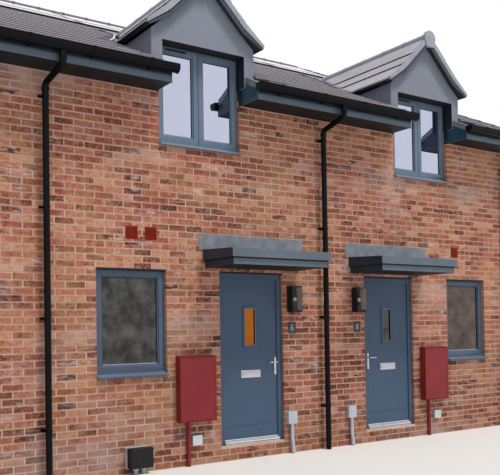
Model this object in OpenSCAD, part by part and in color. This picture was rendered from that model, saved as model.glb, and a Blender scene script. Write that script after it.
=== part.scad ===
// Row of terraced brick houses with wall dormers, built in mirrored pairs.
// Origin: centre of the row's plan at ground level. X runs along the row, the street side faces -Y.

/* [Row] */
// Number of houses in the row
houses = 4; // [2:1:6]
// Width of one house between party lines
house_w = 3712.5; // [3600:112.5:5000]
// Depth of the row from brick face to brick face
row_depth = 10575; // [8000:225:12000]
// Thickness of the outside walls
wall_t = 300; // [250:5:350]
// Thickness of the party walls
party_t = 250; // [200:10:300]

/* [Storeys] */
// Top of the ground floor slab
floor_z = 200; // [150:5:225]
// Top of the first floor
first_floor_z = 2800; // [2700:10:3000]
// Thickness of the first floor
first_floor_t = 250; // [200:10:300]
// Head of the ground storey openings
head_z = 2250; // [2200:25:2400]

/* [Ground windows] */
// Width of the pier between a doorway and its window
pier_w = 710; // [650:5:800]
// Distance from a ground window to the far party line
window_margin = 517.5; // [450:2.5:600]
// Underside of the sill of a ground window
window_sill_z = 1050; // [900:75:1275]

/* [Window units] */
// Depth of the window frames behind the brick face
window_recess = 45; // [30:5:100]
// Depth of a window frame
window_frame_t = 70; // [60:1:90]
// Width of the frame's outer flange
flange_w = 16; // [10:1:30]
// Width of a sash's face
sash_w = 76; // [60:1:90]
// Step from the sash's face back to its glazing bead
bead_step = 14; // [8:1:20]
// Width of a glazing bead
bead_w = 14; // [8:1:20]
// Gap between two sashes
sash_gap = 7; // [4:1:12]
// Thickness of a sealed pane
pane_t = 24; // [20:1:36]
// Height of a sill
sill_h = 66; // [50:1:80]
// Height of a sill's nose
sill_nose_h = 24; // [18:1:30]
// Projection of a sill beyond the brick face
sill_out = 48; // [30:1:60]

/* [Doors] */
// Width of a door opening
door_w = 940; // [900:5:1000]
// Distance from the pair's party line to the near edge of the doorway
door_at = 690; // [600:5:700]
// Underside of the door threshold
door_base_z = 175; // [150:5:180]
// Height of the threshold
threshold_h = 62; // [50:1:80]
// Depth of the door frame behind the brick face
door_recess = 35; // [20:5:100]
// Width of the door frame's face
door_frame_w = 60; // [50:1:75]
// Depth and width of the lip that the door leaf shuts against
door_lip = 12; // [10:1:16]
// Thickness of the door leaf
leaf_t = 54; // [44:1:56]
// Gap between the leaf and its frame
leaf_gap = 5; // [5:0.5:8]
// Distance of the moulded lines from the leaf's top and bottom
leaf_line = 148; // [120:1:180]

/* [Door vision panel] */
// Width of the vision panel's raised surround
vision_w = 215; // [180:5:240]
// Height of the vision panel's raised surround
vision_h = 502; // [400:1:550]
// Width of the surround's face
vision_face = 25; // [18:1:35]
// Projection of the surround from the leaf
vision_proud = 12; // [6:1:16]
// Height of the vision panel's centre
vision_z = 1590; // [1500:5:1650]

/* [Door furniture] */
// Height of the lever spindle
handle_z = 1146; // [1000:1:1200]
// Distance of the spindle from the leaf's edge
backset = 35; // [30:1:50]
// Length of a lever
lever_l = 112; // [95:1:125]
// Stand-off of a lever from its backplate
lever_stand = 45; // [35:1:55]
// Height of a backplate
plate_h = 216; // [180:1:240]
// Width of a backplate
plate_w = 30; // [26:1:36]
// Width of the letter plate
letter_w = 288; // [260:1:300]
// Height of the letter plate
letter_h = 92; // [70:1:100]
// Height of the letter plate's centre
letter_z = 1016; // [900:1:1050]

/* [Dormers] */
// Width of the dormer window opening
dormer_open_w = 1108; // [900:2:1200]
// Underside of the dormer window sill
dormer_sill_z = 3675; // [3600:75:3750]
// Head of the dormer window
dormer_head_z = 4848; // [4800:1:4900]
// Width of rendered wall at each side of the dormer window
dormer_jamb = 142; // [120:2:200]
// Projection of the rendered front beyond the brick face
dormer_proud = 115; // [60:5:150]
// Depth of the rendered front wall behind the brick face
dormer_front_t = 150; // [120:5:200]
// Thickness of the dormer's side walls
cheek_t = 120; // [90:5:140]
// Overhang of the dormer roof beyond the side walls
dormer_eaves = 94; // [80:2:160]
// Height of the dormer roof's apex
dormer_apex_z = 5715; // [5650:1:5800]
// Pitch of the dormer roof in degrees
dormer_pitch = 45; // [40:1:48]
// Thickness of the dormer roof
dormer_roof_t = 64; // [50:2:90]
// Width of the strip along the foot of the dormer roof that lies at a shallower pitch
dormer_foot = 290; // [200:10:340]
// Degrees by which that strip is shallower
dormer_foot_ease = 4; // [2:1:8]
// Overhang of the dormer roof beyond the rendered front
dormer_verge = 90; // [50:5:120]
// Width of the verge trim on top of the dormer roof
dormer_trim_w = 75; // [50:5:100]
// Height of the verge trim above the dormer roof
dormer_trim_h = 22; // [10:1:30]
// Width of the lead beside a dormer
lead_w = 100; // [75:5:150]
// Thickness of the lead
lead_t = 3; // [2:0.5:5]

/* [Main roof] */
// Pitch of the main roof in degrees
roof_pitch = 25.5; // [24:0.5:27]
// Height of the roof surface above the brick face
roof_z = 4655; // [4600:5:4700]
// Vertical thickness of the roof
roof_t = 180; // [150:5:220]
// Radius of the main ridge tiles
ridge_r = 110; // [90:5:130]
// Depth of the ridge tiles' centre below the roof's apex
ridge_drop = 60; // [50:1:70]
// Radius of the dormer ridge tiles
dormer_ridge_r = 120; // [100:5:130]
// Depth of the dormer ridge tiles' centre below the dormer's apex
dormer_ridge_drop = 30; // [20:1:60]
// Length of a ridge tile
ridge_tile_l = 450; // [300:10:450]
// Width of the cap along the gable verges
verge_w = 60; // [40:5:90]
// Height of the verge cap above the roof surface
verge_h = 25; // [12:1:40]
// Projection of the verge beyond the gable wall
verge_out = 30; // [15:1:37]
// Depth of the verge board down the gable wall
verge_board_h = 190; // [120:5:220]

/* [Solar panels] */
// Length of a panel along the row
panel_w = 1722; // [1600:1:1800]
// Length of a panel up the slope
panel_l = 1134; // [990:1:1140]
// Thickness of a panel
panel_t = 40; // [30:1:45]
// Gap between panels
panel_gap = 20; // [10:1:30]
// Distance from the ridge to the top panels, in plan
panel_top = 240; // [200:10:400]

/* [Eaves] */
// Distance from the brick face to the front of the fascia
eaves_out = 375; // [300:5:450]
// Underside of the soffit
soffit_z = 4275; // [4200:5:4300]
// Thickness of the soffit board
soffit_t = 10; // [9:1:15]
// Height of the fascia board
fascia_h = 190; // [150:5:200]
// Thickness of the fascia board
fascia_t = 20; // [16:1:25]
// Thickness of the boards that close the ends of the eaves
end_board_t = 18; // [12:1:22]
// Gap between a dormer window opening and the end of the eaves beside it
eaves_clear = 22; // [2:1:40]
// Height from the top of the soffit board to the foot of the eaves' end boards
box_end_gap = 8; // [4:1:12]

/* [Rainwater goods] */
// Width of the gutter
gutter_w = 112; // [100:1:125]
// Height of the gutter's rim above the soffit
gutter_rise = 183; // [160:1:190]
// Height of the straight part of the gutter's sides
gutter_side = 35; // [10:1:45]
// Thickness of the gutter
gutter_t = 3; // [2:0.5:4]
// Projection of the gutter beyond each end of the eaves
gutter_end = 37; // [20:1:50]
// Distance between the gutter's brackets
bracket_pitch = 800; // [600:50:1000]
// Width of a gutter bracket
bracket_w = 40; // [25:1:60]
// Diameter of the downpipes
pipe_d = 68; // [60:1:80]
// Distance from the brick face to the pipe's centre
pipe_out = 90; // [60:1:110]
// Distance from each party line to the pipe beside it
pipe_at = 50; // [50:1:100]
// Depth of the swan neck's foot below the soffit
neck_foot = 150; // [140:5:250]
// Rise of the swan neck
neck_rise = 118; // [100:1:120]
// Sideways run of the swan neck
neck_x = 60; // [0:5:120]
// Height of a pipe clip
clip_h = 30; // [20:1:40]
// Width of a pipe clip's lug
clip_w = 24; // [16:1:30]
// Number of clips on a downpipe
clips = 4; // [3:1:6]
// Height of the lowest clip
clip_z = 540; // [300:10:700]
// Distance between clips
clip_pitch = 1150; // [900:10:1180]

/* [Canopies] */
// Width of a door canopy
canopy_w = 1425; // [1300:5:1500]
// Projection of a door canopy
canopy_out = 640; // [500:5:700]
// Underside of a door canopy
canopy_z = 2292; // [2280:1:2320]
// Height of the canopy's lower tier
canopy_low_h = 82; // [60:1:100]
// Height of the canopy's front above the lower tier
canopy_top_h = 100; // [80:1:120]
// Fall of the canopy's top from the wall to its front
canopy_fall = 32; // [20:1:60]
// Inset of the canopy's lower tier
canopy_step = 30; // [15:1:45]
// Shift of the canopy's centre from the doorway's centre, towards the party line
canopy_shift = 23; // [0:1:40]
// Height of the lead flashing above a canopy
flashing_h = 184; // [120:1:200]
// Overhang of the flashing past each end of a canopy
flashing_end = 57; // [30:1:80]
// Thickness of the dressed lead above a canopy
flashing_t = 8; // [4:1:10]

/* [Meter boxes] */
// Width of a meter box
meter_w = 482; // [400:1:500]
// Height of a meter box
meter_h = 760; // [600:5:800]
// Depth of a meter box
meter_t = 109; // [100:1:200]
// Bottom of a meter box
meter_z = 513; // [450:1:560]
// Thickness of the box's sides
meter_wall = 6; // [4:1:8]
// Height of the box's sloping lid
meter_lid = 20; // [15:1:30]
// Gap above and below the meter door
meter_gap = 5; // [5:0.5:8]
// Shift of the box from the pier's centre, away from the door
meter_shift = 8; // [0:1:20]
// Diameter of the service pipe below the box
riser_d = 48; // [40:1:60]

/* [Lamps and services] */
// Distance from the pair's party line to the lamp's centre
lamp_at = 545; // [500:5:600]
// Width of the lamp
lamp_w = 160; // [110:1:170]
// Height of the lamp
lamp_h = 328; // [280:1:360]
// Depth of the lamp
lamp_d = 118; // [90:1:150]
// Bottom of the lamp
lamp_z = 1768; // [1740:1:1850]
// Width of the number plate
number_w = 122; // [90:1:130]
// Height of the number plate
number_h = 143; // [90:1:160]
// Bottom of the number plate
number_z = 1502; // [1450:1:1600]
// Width of an air vent
vent_w = 148; // [140:1:225]
// Bottom of an air vent
vent_z = 2580; // [2500:5:2650]
// Width of the service box beside the door
service_w = 135; // [110:1:160]
// Height of the service box
service_h = 153; // [120:1:180]
// Bottom of the service box
service_z = 368; // [300:1:450]

/* [Hidden] */

// Row
row_w = houses * house_w;
face_y = -row_depth / 2;
inner_x = row_w / 2 - wall_t;
slope = tan(roof_pitch);
ridge_z = roof_z + slope * row_depth / 2;
wall_top_z = roof_z - roof_t;
shut_houses = houses > 2 ? [0 : houses - 3] : [];
eps = 0.01;
seat = 0.3;
through = 50;

// Ground windows
window_at = door_at + door_w + pier_w;
window_w = house_w - window_at - window_margin;
window_mid = window_at + window_w / 2;

// Dormers, x from the dormer's centre line, y from the brick face
dormer_at = house_w / 2;
dormer_half = dormer_open_w / 2 + dormer_jamb;
dormer_roof_half = dormer_half + dormer_eaves;
dormer_fall = tan(dormer_pitch);
dormer_drop = dormer_roof_t / cos(dormer_pitch);
dormer_under_z = dormer_apex_z - dormer_drop;
dormer_bend = dormer_roof_half - dormer_foot;
dormer_foot_fall = tan(dormer_pitch - dormer_foot_ease);
dormer_foot_in = dormer_roof_t * sin(dormer_pitch);
dormer_cap_half = 80;
lead_skirt = 75;
low_end_z = soffit_z + soffit_t + box_end_gap;
dormer_cap_drop = 148;
dormer_cap_in = 8;
dormer_front_y = -dormer_proud - dormer_verge;
dormer_back_y = roof_meets(dormer_line(dormer_apex_z, dormer_half));
dormer_end_y = roof_meets(dormer_apex_z) + dormer_roof_half;

// Collars over the joints of the ridge tiles
ridge_collar_w = 40;
ridge_collar_t = 6;

// Door leaf
door_mid = door_at + door_w / 2;
sill_line_z = door_base_z + threshold_h;
leaf_w = door_w - 2 * door_frame_w - 2 * leaf_gap;
leaf_z = sill_line_z + leaf_gap;
leaf_h = head_z - door_frame_w - leaf_gap - leaf_z;
leaf_y = door_recess + door_lip + leaf_gap;
leaf_back_y = leaf_y + leaf_t;
line_w = 8;
line_t = 3;

// Door hinges
hinge_r = 7;
hinge_pin_r = 4;
hinge_play = 0.1;
hinge_plate_t = 4;
hinge_plate_w = 36;
hinge_h = 100;
hinge_cut = 0.5;
hinge_a = door_at + door_w - door_frame_w - leaf_gap / 2;
hinge_y = leaf_back_y + hinge_r + 1;
hinge_inset = 180;
hinge_zs = [leaf_z + hinge_inset, leaf_z + (leaf_h - hinge_h) / 2, leaf_z + leaf_h - hinge_inset - hinge_h];

// Door furniture
handle_a = door_at + door_frame_w + leaf_gap + backset;
spindle_r = 5;
spindle_bore_r = 6;
lever_r = 9;
lever_gap = 1;
plate_t = 8;
plate_rise = 62;
letter_plate_t = 6;
slot_w = 240;
slot_h = 40;
flap_w = 258;
flap_h = 62;
flap_t = 4;
flap_gap = 1.5;
flap_pin_r = 1.5;
flap_roll_r = 3.5;
flap_play = 0.3;
flap_pin_play = 0.1;
flap_lug = 6;
flap_pin_l = 6;
flap_hinge_y = leaf_y - letter_plate_t - flap_gap - flap_roll_r;
flap_hinge_z = letter_z + flap_h / 2;

// Meter box
meter_at = (door_at + door_w + window_at - meter_w) / 2 + meter_shift;
meter_end = meter_at + meter_w;
meter_lip = 16;
meter_pin_r = 2;
meter_roll_r = 4;
meter_play = 0.3;
meter_rim_w = 22;
meter_rim_t = 3;
meter_hinge_a = meter_end - meter_roll_r;
meter_door_y = -meter_t + meter_rim_t + 1;
meter_mid = (meter_at + meter_end) / 2;
riser_off = 100;
glass_alpha = 0.4;
meter_hinge_y = meter_door_y + meter_roll_r;
meter_top_z = meter_z + meter_h - meter_lid;

// Gutter and pipes
gutter_r = gutter_w / 2;
gutter_z = soffit_z + gutter_rise - gutter_side;
bracket_t = 4;
gutter_y = -eaves_out - gutter_r - bracket_t - seat;
pipe_r = pipe_d / 2;
collar_t = 4;
collar_h = 55;
pipe_top_z = soffit_z - neck_foot;
clip_zs = [for (i = [0 : clips - 1]) clip_z + i * clip_pitch];

// Height at distance u from the dormer's centre line of a slope that starts at height z over the line
function dormer_line(z, u) = z - min(u, dormer_bend) * dormer_fall
    - max(u - dormer_bend, 0) * dormer_foot_fall;

// Distance behind the brick face at which the main roof's surface has height z
function roof_meets(z) = (z - roof_z) / slope;

// X of the party line shared by the two houses whose doors stand beside it
function pair_line(h) = -row_w / 2 + (h % 2 == 0 ? h + 1 : h) * house_w;

// Direction along a house's own x that is left as seen from the street
function left_of(h) = h % 2 == 0 ? 1 : -1;

// Runs of eaves between the dormers: [x0, x1] of each
function eaves_end(i) = -row_w / 2 + i * house_w + dormer_at;
function eaves_runs() = let (clear = dormer_open_w / 2 + eaves_clear) [for (i = [0 : houses])
    [i == 0 ? -row_w / 2 : eaves_end(i - 1) + clear, i == houses ? row_w / 2 : eaves_end(i) - clear]];

module at_house(h) {
    translate([pair_line(h), face_y, 0])
        if (h % 2 == 0) mirror([1, 0, 0]) children();
        else children();
}

module each_house() {
    for (h = [0 : houses - 1]) at_house(h) children();
}

module each_dormer() {
    both_sides() for (i = [0 : houses - 1]) translate([eaves_end(i), face_y, 0]) children();
}

module each_run() {
    both_sides() for (run = eaves_runs()) translate([0, face_y, 0]) {
        $run = run;
        children();
    }
}

module both_sides() {
    children();
    mirror([0, 1, 0]) children();
}

module box(x0, x1, y0, y1, z0, z1) {
    translate([x0, y0, z0]) cube([x1 - x0, y1 - y0, z1 - z0]);
}

// Rectangular ring in the XZ plane with the given width of face
module ring(x0, x1, y0, y1, z0, z1, face) {
    difference() {
        box(x0, x1, y0, y1, z0, z1);
        box(x0 + face, x1 - face, y0 - 1, y1 + 1, z0 + face, z1 - face);
    }
}

// Outline in the YZ plane extruded from x0 to x1
module profile_x(points, x0, x1) {
    translate([x0, 0, 0]) rotate([90, 0, 90]) linear_extrude(height = x1 - x0) polygon(points);
}

// Outline in the XZ plane extruded from y0 to y1
module profile_y(points, y0, y1) {
    translate([0, y1, 0]) rotate([90, 0, 0]) linear_extrude(height = y1 - y0) polygon(points);
}

module rod_x(r, x0, x1) {
    translate([x0, 0, 0]) rotate([0, 90, 0]) cylinder(r = r, h = x1 - x0, $fn = 32);
}

module rod_y(r, y0, y1) {
    translate([0, y1, 0]) rotate([90, 0, 0]) cylinder(r = r, h = y1 - y0, $fn = 48);
}

// Round bar between two points
module bar(a, b, r) {
    d = b - a;
    translate(a) rotate([0, acos(d[2] / norm(d)), atan2(d[1], d[0])])
        cylinder(r = r, h = norm(d), $fn = 16);
}

// Brickwork

module window_hole() {
    box(window_at, window_at + window_w, -through, wall_t + through, window_sill_z, head_z);
}

module door_hole() {
    box(door_at, door_at + door_w, -through, wall_t + through, door_base_z, head_z);
}

module dormer_hole() {
    box(dormer_at - dormer_open_w / 2, dormer_at + dormer_open_w / 2,
        -through, wall_t + through, dormer_sill_z, wall_top_z + through);
}

module wall_slab(z0, z1) {
    box(-inner_x, inner_x, face_y, face_y + wall_t, z0, z1);
}

// Ground storey brickwork between the openings, from party line to party line
module front_piers() {
    color("indianred") difference() {
        wall_slab(0, head_z);
        each_house() {
            box(window_at, window_at + window_w, -through, wall_t + through, -1, head_z + 1);
            box(door_at, door_at + door_w, -through, wall_t + through, -1, head_z + 1);
        }
    }
}

module front_aprons() {
    color("indianred") each_house() {
        box(window_at, window_at + window_w, 0, wall_t, 0, window_sill_z);
        box(door_at, door_at + door_w, 0, wall_t, 0, door_base_z);
    }
}

module front_upper_wall() {
    color("indianred") difference() {
        wall_slab(head_z, wall_top_z);
        each_house() dormer_hole();
    }
}

module rear_wall() {
    color("indianred") mirror([0, 1, 0]) difference() {
        wall_slab(0, wall_top_z);
        each_house() {
            window_hole();
            door_hole();
            dormer_hole();
        }
    }
}

// Gable shape under the roof, inset from both brick faces
module gable(x0, x1, inset) {
    rise = inset * slope;
    translate([0, face_y, 0]) profile_x([
        [inset, 0], [row_depth - inset, 0], [row_depth - inset, wall_top_z + rise - seat],
        [row_depth / 2, ridge_z - roof_t - seat], [inset, wall_top_z + rise - seat]], x0, x1);
}

module end_walls() {
    color("indianred") for (side = [0, 1]) mirror([side, 0, 0]) gable(inner_x, row_w / 2, 0);
}

module party_walls() {
    color("lightgray") for (i = [1 : houses - 1]) {
        x = -row_w / 2 + i * house_w;
        gable(x - party_t / 2, x + party_t / 2, wall_t);
    }
}

module floors(z0, z1) {
    for (i = [0 : houses - 1]) {
        x = -row_w / 2 + i * house_w;
        x0 = x + (i == 0 ? wall_t : party_t / 2);
        x1 = x + house_w - (i == houses - 1 ? wall_t : party_t / 2);
        box(x0, x1, face_y + wall_t, -face_y - wall_t, z0, z1);
    }
}

module ground_floor() { color("gray") floors(0, floor_z); }
module first_floor() { color("burlywood") floors(first_floor_z - first_floor_t, first_floor_z); }

// Main roof, y from the brick face

// Layer of one slope between two heights over the roof's surface
module roof_layer(h0, h1, y0, y1, x0, x1) {
    profile_x([[y0, roof_z + slope * y0 + h0], [y1, roof_z + slope * y1 + h0],
        [y1, roof_z + slope * y1 + h1], [y0, roof_z + slope * y0 + h1]], x0, x1);
}

module roof_slope() {
    notch = dormer_open_w / 2 + eaves_clear + end_board_t + seat;
    difference() {
        translate([0, face_y, 0])
            roof_layer(-roof_t, 0, fascia_t - eaves_out, row_depth / 2, -row_w / 2, row_w / 2);
        for (i = [0 : houses - 1]) translate([eaves_end(i), face_y, 0]) {
            box(-dormer_half - seat, dormer_half + seat, -dormer_proud - seat, dormer_back_y + seat,
                soffit_z, ridge_z);
            box(-notch, notch, -eaves_out - through, 0, soffit_z, ridge_z);
        }
    }
}

module roof_front() { color("dimgray") roof_slope(); }
module roof_rear() { color("dimgray") mirror([0, 1, 0]) roof_slope(); }

// Half round tiles of one length end to end, each with a raised collar over the joint
module ridge_bar(r, x0, x1) {
    rod_x(r, x0, x1);
    for (x = [x0 : ridge_tile_l : x1 - ridge_collar_w]) rod_x(r + ridge_collar_t, x, x + ridge_collar_w);
}

module ridge_tiles() {
    x = row_w / 2 + verge_out;
    color("#3f3d40") difference() {
        translate([0, 0, ridge_z - ridge_drop]) ridge_bar(ridge_r, -x, x);
        profile_x([[-row_depth / 2, roof_z + seat], [0, ridge_z + seat], [row_depth / 2, roof_z + seat],
            [row_depth / 2, 0], [-row_depth / 2, 0]], -x - through, x + through);
    }
}

module verge_caps() {
    x = row_w / 2;
    half = row_depth / 2;
    color("#4a4a4e") both_sides() for (side = [0, 1]) mirror([side, 0, 0]) translate([0, face_y, 0]) {
        roof_layer(seat, verge_h, -eaves_out, half - ridge_r - through, x - verge_w, x + verge_out);
        roof_layer(-verge_board_h, seat, -eaves_out, half, x + seat, x + verge_out);
    }
}

module solar_panels() {
    top_y = row_depth / 2 - panel_top;
    color("midnightblue") each_house() translate([dormer_at, top_y, roof_z + slope * top_y + seat])
        rotate([roof_pitch, 0, 0]) for (col = [-1, 1], r = [1, 2])
            translate([col * (panel_w + panel_gap) / 2 - panel_w / 2, -r * (panel_l + panel_gap), 0])
                cube([panel_w, panel_l, panel_t]);
}

// Dormers, x from the dormer's centre line, y from the brick face

// Everything above the main roof's surface that a dormer can reach
module above_main_roof() {
    roof_layer(seat, ridge_z, -row_depth / 2, dormer_end_y, -house_w / 2, house_w / 2);
}

module dormer_wall() {
    w = dormer_half;
    o = dormer_open_w / 2;
    corner = dormer_line(dormer_under_z, w);
    bend = dormer_line(dormer_under_z, dormer_bend);
    y0 = dormer_front_t;
    y1 = dormer_back_y;
    profile_y([[-w, wall_top_z], [-w, corner], [-dormer_bend, bend], [0, dormer_under_z],
        [dormer_bend, bend], [w, corner], [w, wall_top_z], [o, wall_top_z], [o, dormer_head_z],
        [-o, dormer_head_z], [-o, wall_top_z]], -dormer_proud, y0);
    for (side = [0, 1]) mirror([side, 0, 0])
        profile_x([[y0, wall_top_z + y0 * slope], [y1, wall_top_z + y1 * slope], [y1, corner],
            [y0, corner]], w - cheek_t, w);
}

module dormer_walls() { color("gray") each_dormer() dormer_wall(); }

// Both slopes as one outline between a line that starts at height top and one that starts at height under
function dormer_section(top, top_u, under, under_u) = [
    for (x = [-top_u, -dormer_bend, 0, dormer_bend, top_u]) [x, dormer_line(top, abs(x))],
    for (x = [under_u, dormer_bend, 0, -dormer_bend, -under_u]) [x, dormer_line(under, abs(x))]];

// Two slopes with a shallower foot and a raised trim along the verge, cut to the main roof
module dormer_roof() {
    h = dormer_roof_half;
    t = dormer_trim_h / cos(dormer_pitch);
    intersection() {
        union() {
            profile_y(dormer_section(dormer_apex_z, h, dormer_under_z, h - dormer_foot_in),
                dormer_front_y, dormer_end_y);
            profile_y(dormer_section(dormer_apex_z + t, h, dormer_apex_z - dormer_drop / 2, h),
                dormer_front_y, dormer_front_y + dormer_trim_w);
        }
        above_main_roof();
    }
}

module dormer_roofs() { color("dimgray") each_dormer() dormer_roof(); }

// Space under a pair of slopes whose ridge is at apex_z
module dormer_tent(apex_z, reach, y1) {
    foot_z = apex_z - reach * dormer_fall;
    profile_y([[-reach, foot_z], [0, apex_z], [reach, foot_z]], dormer_front_y - seat, y1);
}

module dormer_ridge() {
    reach = 2 * dormer_ridge_r;
    low_z = dormer_apex_z - dormer_cap_drop;
    mid_z = dormer_apex_z - dormer_ridge_drop;
    wide = dormer_ridge_r - dormer_cap_in;
    t = dormer_trim_h / cos(dormer_pitch) + seat;
    y0 = dormer_front_y - fascia_t;
    difference() {
        intersection() {
            translate([0, 0, mid_z]) rotate([0, 0, 90]) ridge_bar(dormer_ridge_r, y0, dormer_end_y);
            above_main_roof();
        }
        dormer_tent(dormer_apex_z + seat, reach, dormer_end_y + through);
        dormer_tent(dormer_apex_z + t, reach, dormer_front_y + dormer_trim_w + seat);
    }
    profile_y([[-dormer_cap_half, low_z], [dormer_cap_half, low_z], [wide, mid_z], [-wide, mid_z]], y0,
        dormer_front_y - seat);
}

module dormer_ridges() { color("#3f3d40") each_dormer() dormer_ridge(); }

// Lead lying on the main roof along both valleys and beside both cheeks of a dormer
module dormer_lead() {
    h = dormer_roof_half;
    w = dormer_half;
    clear = lead_t * 3;
    y1 = roof_meets(dormer_line(dormer_apex_z, h)) + clear;
    y2 = roof_meets(dormer_apex_z) + clear;
    y3 = roof_meets(dormer_line(dormer_under_z, w)) - clear;
    y4 = roof_meets(dormer_line(dormer_under_z, w + lead_w)) - clear;
    r = dormer_ridge_r + ridge_collar_t + seat;
    intersection() {
        roof_layer(seat, lead_t, -row_depth / 2, row_depth / 2, -house_w / 2, house_w / 2);
        linear_extrude(height = 2 * ridge_z) {
            difference() {
                polygon([[-h - lead_w, y1], [0, y2 + lead_w], [h + lead_w, y1], [h, y1],
                    [0, y2], [-h, y1]]);
                translate([-r, 0]) square([2 * r, 2 * y2]);
            }
            for (side = [-1, 1]) polygon([[side * (w + seat), -dormer_proud],
                [side * (w + lead_w), -dormer_proud], [side * (w + lead_w), y4], [side * (w + seat), y3]]);
        }
    }
}

// Upstand on the wall with an apron over the canopy's top
module canopy_lead() {
    z = canopy_z + canopy_low_h + canopy_top_h + canopy_fall + seat;
    half = canopy_w / 2 + flashing_end;
    apron = 90;
    fall = apron * canopy_fall / canopy_out;
    translate([door_mid - canopy_shift, 0, 0]) {
        box(-half, half, -flashing_t, 0, z, z + flashing_h);
        profile_x([[0, z], [-apron, z - fall], [-apron, z - fall + lead_t], [0, z + lead_t]],
            -canopy_w / 2, canopy_w / 2);
    }
}

module lead_flashings() {
    color("#6d737a") {
        each_dormer() dormer_lead();
        each_house() canopy_lead();
    }
}

// Eaves

// Soffit and fascia, with the fascia hanging a little below the soffit
module eaves_boards() {
    drip = 8;
    y0 = -eaves_out;
    y1 = fascia_t - eaves_out;
    color("lightsteelblue") each_run() profile_x([[y0, soffit_z], [y1, soffit_z], [y1, soffit_z + drip],
        [0, soffit_z + drip], [0, soffit_z + drip + soffit_t], [y1, soffit_z + drip + soffit_t],
        [y1, soffit_z + fascia_h], [y0, soffit_z + fascia_h]], $run[0], $run[1]);
}

// Height of the main roof's surface at distance y behind the brick face
function roof_at(y) = roof_z + slope * y;

// Board under the roof at the row's own ends
module row_end_board(x0, x1) {
    y0 = fascia_t - eaves_out;
    profile_x([[y0, low_end_z], [0, low_end_z], [0, wall_top_z - seat], [y0, roof_at(y0) - roof_t - seat]],
        x0, x1);
}

// Board beside a dormer, up to the roof's surface, with lead dressed over its top
module dormer_end_board(edge, out) {
    y0 = fascia_t - eaves_out;
    y1 = -dormer_proud - seat;
    inner = edge - out * end_board_t;
    face = edge + out * lead_t;
    reach = edge - out * lead_w;
    profile_x([[y0, low_end_z], [0, low_end_z], [0, wall_top_z - seat], [y1, wall_top_z - seat],
        [y1, roof_at(y1)], [y0, roof_at(y0)]], min(edge, inner), max(edge, inner));
    roof_layer(-lead_skirt, lead_t, y0, y1, min(edge - eps * out, face), max(edge - eps * out, face));
    roof_layer(seat, lead_t, y0, y1, min(reach, face), max(reach, face));
    roof_layer(-eps, lead_t, y0, y1, min(edge, inner), max(edge, inner));
}

// Boards that close a run at its ends
module eaves_ends() {
    color("steelblue") each_run() for (end = [0, 1]) {
        out = end == 0 ? -1 : 1;
        edge = $run[end];
        inner = edge - out * end_board_t;
        if (abs(edge) < row_w / 2 - 1) dormer_end_board(edge, out);
        else row_end_board(min(edge, inner), max(edge, inner));
    }
}

// Round bottom and straight sides of a gutter, as an outline about the centre of the round
module gutter_outline(r, top) {
    intersection() {
        circle(r = r, $fn = 48);
        translate([-r, -r]) square([2 * r, r]);
    }
    translate([-r, 0]) square([2 * r, top]);
}

module trough(r, inner_r, x0, x1) {
    translate([x0, 0, 0]) rotate([90, 0, 90]) linear_extrude(height = x1 - x0) difference() {
        gutter_outline(r, gutter_side);
        gutter_outline(inner_r, gutter_side + 1);
    }
}

module gutter_stop(x0, x1) {
    translate([x0, 0, 0]) rotate([90, 0, 90]) linear_extrude(height = x1 - x0)
        gutter_outline(gutter_r, gutter_side);
}

module gutters() {
    color("#1c1d20") each_run() {
        x0 = $run[0] - gutter_end;
        x1 = $run[1] + gutter_end;
        count = ceil((x1 - x0) / bracket_pitch);
        translate([0, gutter_y, gutter_z]) {
            trough(gutter_r, gutter_r - gutter_t, x0, x1);
            gutter_stop(x0, x0 + gutter_t);
            gutter_stop(x1 - gutter_t, x1);
            for (i = [0 : count - 1]) {
                x = x0 + (i + 0.5) * (x1 - x0) / count;
                trough(gutter_r + bracket_t, gutter_r - gutter_t / 2, x - bracket_w / 2, x + bracket_w / 2);
            }
        }
    }
}

module downpipe(lean) {
    foot = [0, -pipe_out, pipe_top_z];
    outlet = [lean, gutter_y, pipe_top_z + neck_rise];
    difference() {
        union() {
            translate([0, -pipe_out, 0]) cylinder(r = pipe_r, h = pipe_top_z, $fn = 16);
            bar(foot, outlet, pipe_r);
            translate(foot) sphere(r = pipe_r + collar_t, $fn = 16);
            translate(outlet) sphere(r = pipe_r + collar_t, $fn = 16);
            translate(outlet) cylinder(r = pipe_r, h = gutter_z - outlet[2], $fn = 16);
            for (z = clip_zs) {
                translate([0, -pipe_out, z]) cylinder(r = pipe_r + collar_t, h = clip_h, $fn = 16);
                box(-clip_w / 2, clip_w / 2, -pipe_out, 0, z, z + clip_h);
            }
            translate([0, -pipe_out, clip_zs[1] + clip_h])
                cylinder(r = pipe_r + collar_t / 2, h = collar_h, $fn = 16);
        }
        translate([0, gutter_y, gutter_z]) rod_x(gutter_r + seat, -pipe_d, 2 * pipe_d);
    }
}

module downpipes() {
    color("#1c1d20") both_sides() for (i = [0 : houses])
        translate([-row_w / 2 + i * house_w + (i == 0 ? pipe_at + pipe_r : -pipe_at), face_y, 0])
            downpipe(i == houses ? 0 : neck_x);
}

// Windows

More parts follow.
